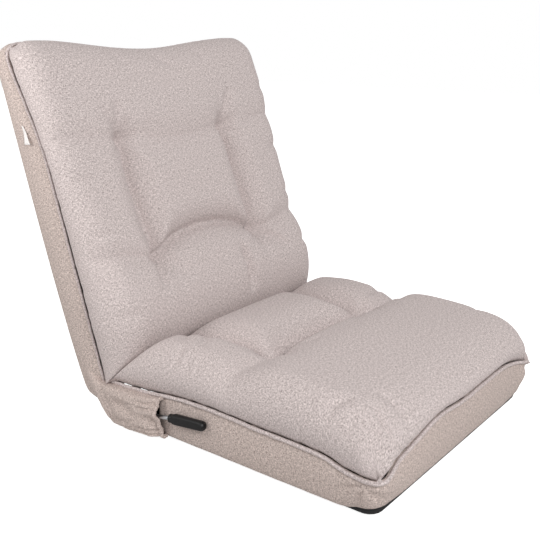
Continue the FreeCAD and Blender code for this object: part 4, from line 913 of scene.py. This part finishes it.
def sleeve_surface(sign, rows, columns):
    """One sleeve over (from rear to front, from its upper edge over the outside to its lower edge).

    Each station is a C: in along the top, down the outside and in underneath, with rounded corners. Its
    height and place follow smooth curves through a few stations. Gathers run back from the open end. The
    cloth has a dent half way along, stands up above and below it, and is drawn in at the open end except
    round the rod.
    """
    t = np.linspace(0, 1, rows)
    ahead = through([0, 0.25, 0.6, 1], [-22, 30, 108, sleeve_end], t)
    top = through([-22, 14, 40, 60, 98, 140, 177], [92, 71, 74, 75, 77, 79, 82], ahead)
    low = through([-22, 12, 51, 75, 120, 173, 189], [58, 36, 6, 3.5, 6, 12, 17], ahead)
    side = through([-22, 10, 40, 100, 150, 178], [291, 297, 302, 307, 307, 305], ahead)
    angle = np.linspace(-0.25, 1.25, columns)
    turn = np.clip(angle, 0, 1) * math.pi - math.pi / 2
    vertical = -np.sign(np.sin(turn)) * np.abs(np.sin(turn)) ** 0.72
    inward = 1 - np.abs(np.cos(turn)) ** 0.38
    beyond = np.clip(-angle, 0, None) + np.clip(angle - 1, 0, None)
    middle = (top + low)[:, None] / 2
    reach = (top - low)[:, None] / 2
    z = middle + reach * vertical
    x = side[:, None] - 16 * inward - 60 * beyond
    y = -ahead[:, None] + 0.13 * (z - 50) * smooth(ahead / sleeve_end)[:, None]
    gather = smooth((t - 0.45) / 0.5)[:, None] * (1 - 0.25 * smooth((t - 0.93) / 0.07))[:, None]
    folds = np.sin(angle * 46 + 0.9 * np.sin(angle * 17)) + 0.4 * np.sin(angle * 83 + 1.0)
    outside = np.exp(-(((angle - 0.5) / 0.55) ** 4))
    x = x + 2.0 * folds * gather * outside - 5.5 * hill(y, z, (-84, 50), (22, 10))
    x = x + 3.5 * hill(y, z, (-84, 67), (36, 8)) + 3 * hill(y, z, (-100, 32), (34, 9))
    slack = 3.4 * gathers(ahead[:, None] + 0.9 * z, 58, 71)
    slack = slack + 2.2 * gathers(z - 0.3 * ahead[:, None], 30, 72)
    x = x + slack * outside * smooth((ahead[:, None] + 10) / 40)
    round_rod = np.exp(-(((z - 57) / 13) ** 4))
    x = x - 9 * smooth((t - 0.86) / 0.14)[:, None] * (1 - round_rod) * outside
    return np.stack([sign * x, y, z], axis=-1)


def binding_path(sign, count):
    """The open end's edge: the last row of the sleeve, moved out by 1.8 mm and ahead by 1.5 mm."""
    rim = sleeve_surface(sign, 40, 120)[-1]
    return curve_points(rim[12:-12:6], count) + np.array([sign * 1.8, -1.5, 0])


for name, sign in (("left", 1), ("right", -1)):
    points = sleeve_surface(sign, 70, 84)[:, ::-sign]
    sleeve = surface(f"sleeve_cloth_{name}", points, shaded_side_cloth)
    thicken(sleeve, "lining", 0.0016, 0)
    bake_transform(sleeve)
    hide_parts(f"hinge_sleeve_{name}")
    path = binding_path(sign, 110)
    gathered = 0.35 * np.sin(np.linspace(0, 95, 110))
    edge = closed_cord(f"sleeve_edge_{name}", path, 3.7 + gathered, 12, shaded_side_cloth)
    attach(edge, "seat")
    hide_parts(f"sleeve_binding_{name}")


# The side tag: a folded satin ribbon, blank, sewn into the back's side seam.
tag_low = 476.0
tag_long = 35.0


def tag_surface():
    """A ribbon over (up, back): it hangs from its narrower upper end, and its lower end lifts away from the
    panel by 3.5 (1 - u)²."""
    gu, gv = np.meshgrid(np.linspace(0, 1, 12), np.linspace(0, 1, 8))
    up = tag_low + tag_long * gu
    x = -(back_width(up) + 7.6 + 3.5 * (1 - gu) ** 2 + 0.6 * np.sin(gu * 6 + gv))
    return on_back(x, up + 2 * gv, -13 + 15 * (1 - gv) * (1 - 0.8 * gu))


def satin_material():
    """White satin ribbon: fine cross threads with a soft gloss."""
    material, tree, shader = new_material("tag_satin", 0.5)
    shader.inputs["Sheen Weight"].default_value = 0.2
    threads = tree.nodes.new("ShaderNodeTexWave")
    threads.inputs["Scale"].default_value = 900
    threads.inputs["Distortion"].default_value = 1.5
    wire(tree, (coordinates(tree, "UV"), threads.inputs["Vector"]))
    stops = [(0.2, linear(226, 222, 220)), (0.8, linear(244, 242, 240))]
    tint_node(tree, threads.outputs["Fac"], stops, shader)
    bump_node(tree, threads.outputs["Fac"], 0.2, 0.0002, shader)
    return material


tag = surface("side_ribbon", tag_surface(), satin_material())
thicken(tag, "fold", 0.0008, -1)
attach(tag, "backrest")
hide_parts("side_tag")


# The lever's grip: black moulded plastic over the end of the zinc plated rod.
def grip_plastic():
    """Black plastic: fine spark-eroded grain and a slight wear in its gloss."""
    material, tree, shader = new_material("grip_black", 0.36)
    vector = coordinates(tree, "Object")
    grain = noise_node(tree, vector, 2600, 2)
    wear = noise_node(tree, vector, 140, 4)
    stops = [(0.35, linear(9, 9, 10)), (0.7, linear(18, 18, 19))]
    tint_node(tree, wear.outputs["Fac"], stops, shader)
    shader.inputs["Specular IOR Level"].default_value = 0.3
    gloss_node(tree, wear.outputs["Fac"], 0.26, 0.46, shader)
    bump_node(tree, grain.outputs["Fac"], 0.2, 0.0002, shader)
    return material


cad["lever_grip"].data.materials.clear()
cad["lever_grip"].data.materials.append(grip_plastic())


# The floor, the light and the camera at the photograph's angle.
def floor():
    """A pale floor whose own colour stays near white, so that only the chair's contact shadow shows."""
    material, tree, shader = new_material("pale_floor", 0.9)
    shader.inputs["Base Color"].default_value = linear(226, 226, 226)
    shader.inputs["Specular IOR Level"].default_value = 0.0
    path = tree.nodes.new("ShaderNodeLightPath")
    white = tree.nodes.new("ShaderNodeEmission")
    white.inputs["Color"].default_value = (0.9, 0.9, 0.9, 1)
    both = tree.nodes.new("ShaderNodeAddShader")
    wire(
        tree,
        (path.outputs["Is Camera Ray"], white.inputs["Strength"]),
        (shader.outputs["BSDF"], both.inputs[0]),
        (white.outputs["Emission"], both.inputs[1]),
        (both.outputs["Shader"], tree.nodes["Material Output"].inputs["Surface"]),
    )
    corners = np.array([(-1, -1, 0), (1, -1, 0), (1, 1, 0), (-1, 1, 0)]) * 8000.0 - (0, 0, 1)
    obj = mesh_piece("floor", corners, [(0, 1, 2, 3)], corners[:, :2] / 1000, material)


def world():
    """White to the camera and to mirrors and glass, and a softer pale dome for the light."""
    dome = bpy.data.worlds.new("studio")
    dome.use_nodes = True
    tree = dome.node_tree
    light = tree.nodes["Background"]
    light.inputs["Color"].default_value = (1.0, 0.985, 0.97, 1)
    light.inputs["Strength"].default_value = 0.47
    white = tree.nodes.new("ShaderNodeBackground")
    white.inputs["Color"].default_value = (1, 1, 1, 1)
    rays = tree.nodes.new("ShaderNodeLightPath").outputs
    seen = rays["Is Camera Ray"]
    for kind in ("Is Glossy Ray", "Is Transmission Ray"):
        either = tree.nodes.new("ShaderNodeMath")
        either.operation = "MAXIMUM"
        wire(tree, (seen, either.inputs[0]), (rays[kind], either.inputs[1]))
        seen = either.outputs[0]
    mix = tree.nodes.new("ShaderNodeMixShader")
    wire(
        tree,
        (seen, mix.inputs["Fac"]),
        (light.outputs["Background"], mix.inputs[1]),
        (white.outputs["Background"], mix.inputs[2]),
        (mix.outputs["Shader"], tree.nodes["World Output"].inputs["Surface"]),
    )
    bpy.context.scene.world = dome


def look_at(obj, place, towards):
    """Put an object at a place with its -Z axis towards a point and its Y axis up."""
    turn = (Vector(towards) - Vector(place)).to_track_quat("-Z", "Y")
    obj.matrix_world = Matrix.LocRotScale(Vector(place), turn, None)
    bpy.context.scene.collection.objects.link(obj)


def lamp(name, place, towards, size, power, colour):
    """A square soft box that faces a point."""
    light = bpy.data.lights.new(name, "AREA")
    light.size = size
    light.energy = power
    light.color = colour
    obj = bpy.data.objects.new(name, light)
    look_at(obj, place, towards)


floor()
world()
lamp("key", (-1.25, -2.5, 2.05), (0, -0.15, 0.3), 1.1, 50, (1.0, 0.985, 0.98))
lamp("side", (-1.0, 0.35, 0.75), (-0.3, 0.1, 0.75), 0.35, 3.7, (1.0, 0.975, 0.96))
lamp("fill", (2.4, -1.6, 1.6), (0, -0.2, 0.25), 1.8, 5, (0.98, 0.99, 1.0))

camera = bpy.data.cameras.new("camera")
camera.lens = 54.75
camera.sensor_width = 36
camera_object = bpy.data.objects.new("camera", camera)
look_at(camera_object, (-1.2223, -1.1430, 0.7121), (0.0848, -0.1284, 0.2260))
bpy.context.scene.camera = camera_object
bpy.context.scene.view_settings.view_transform = "Standard"
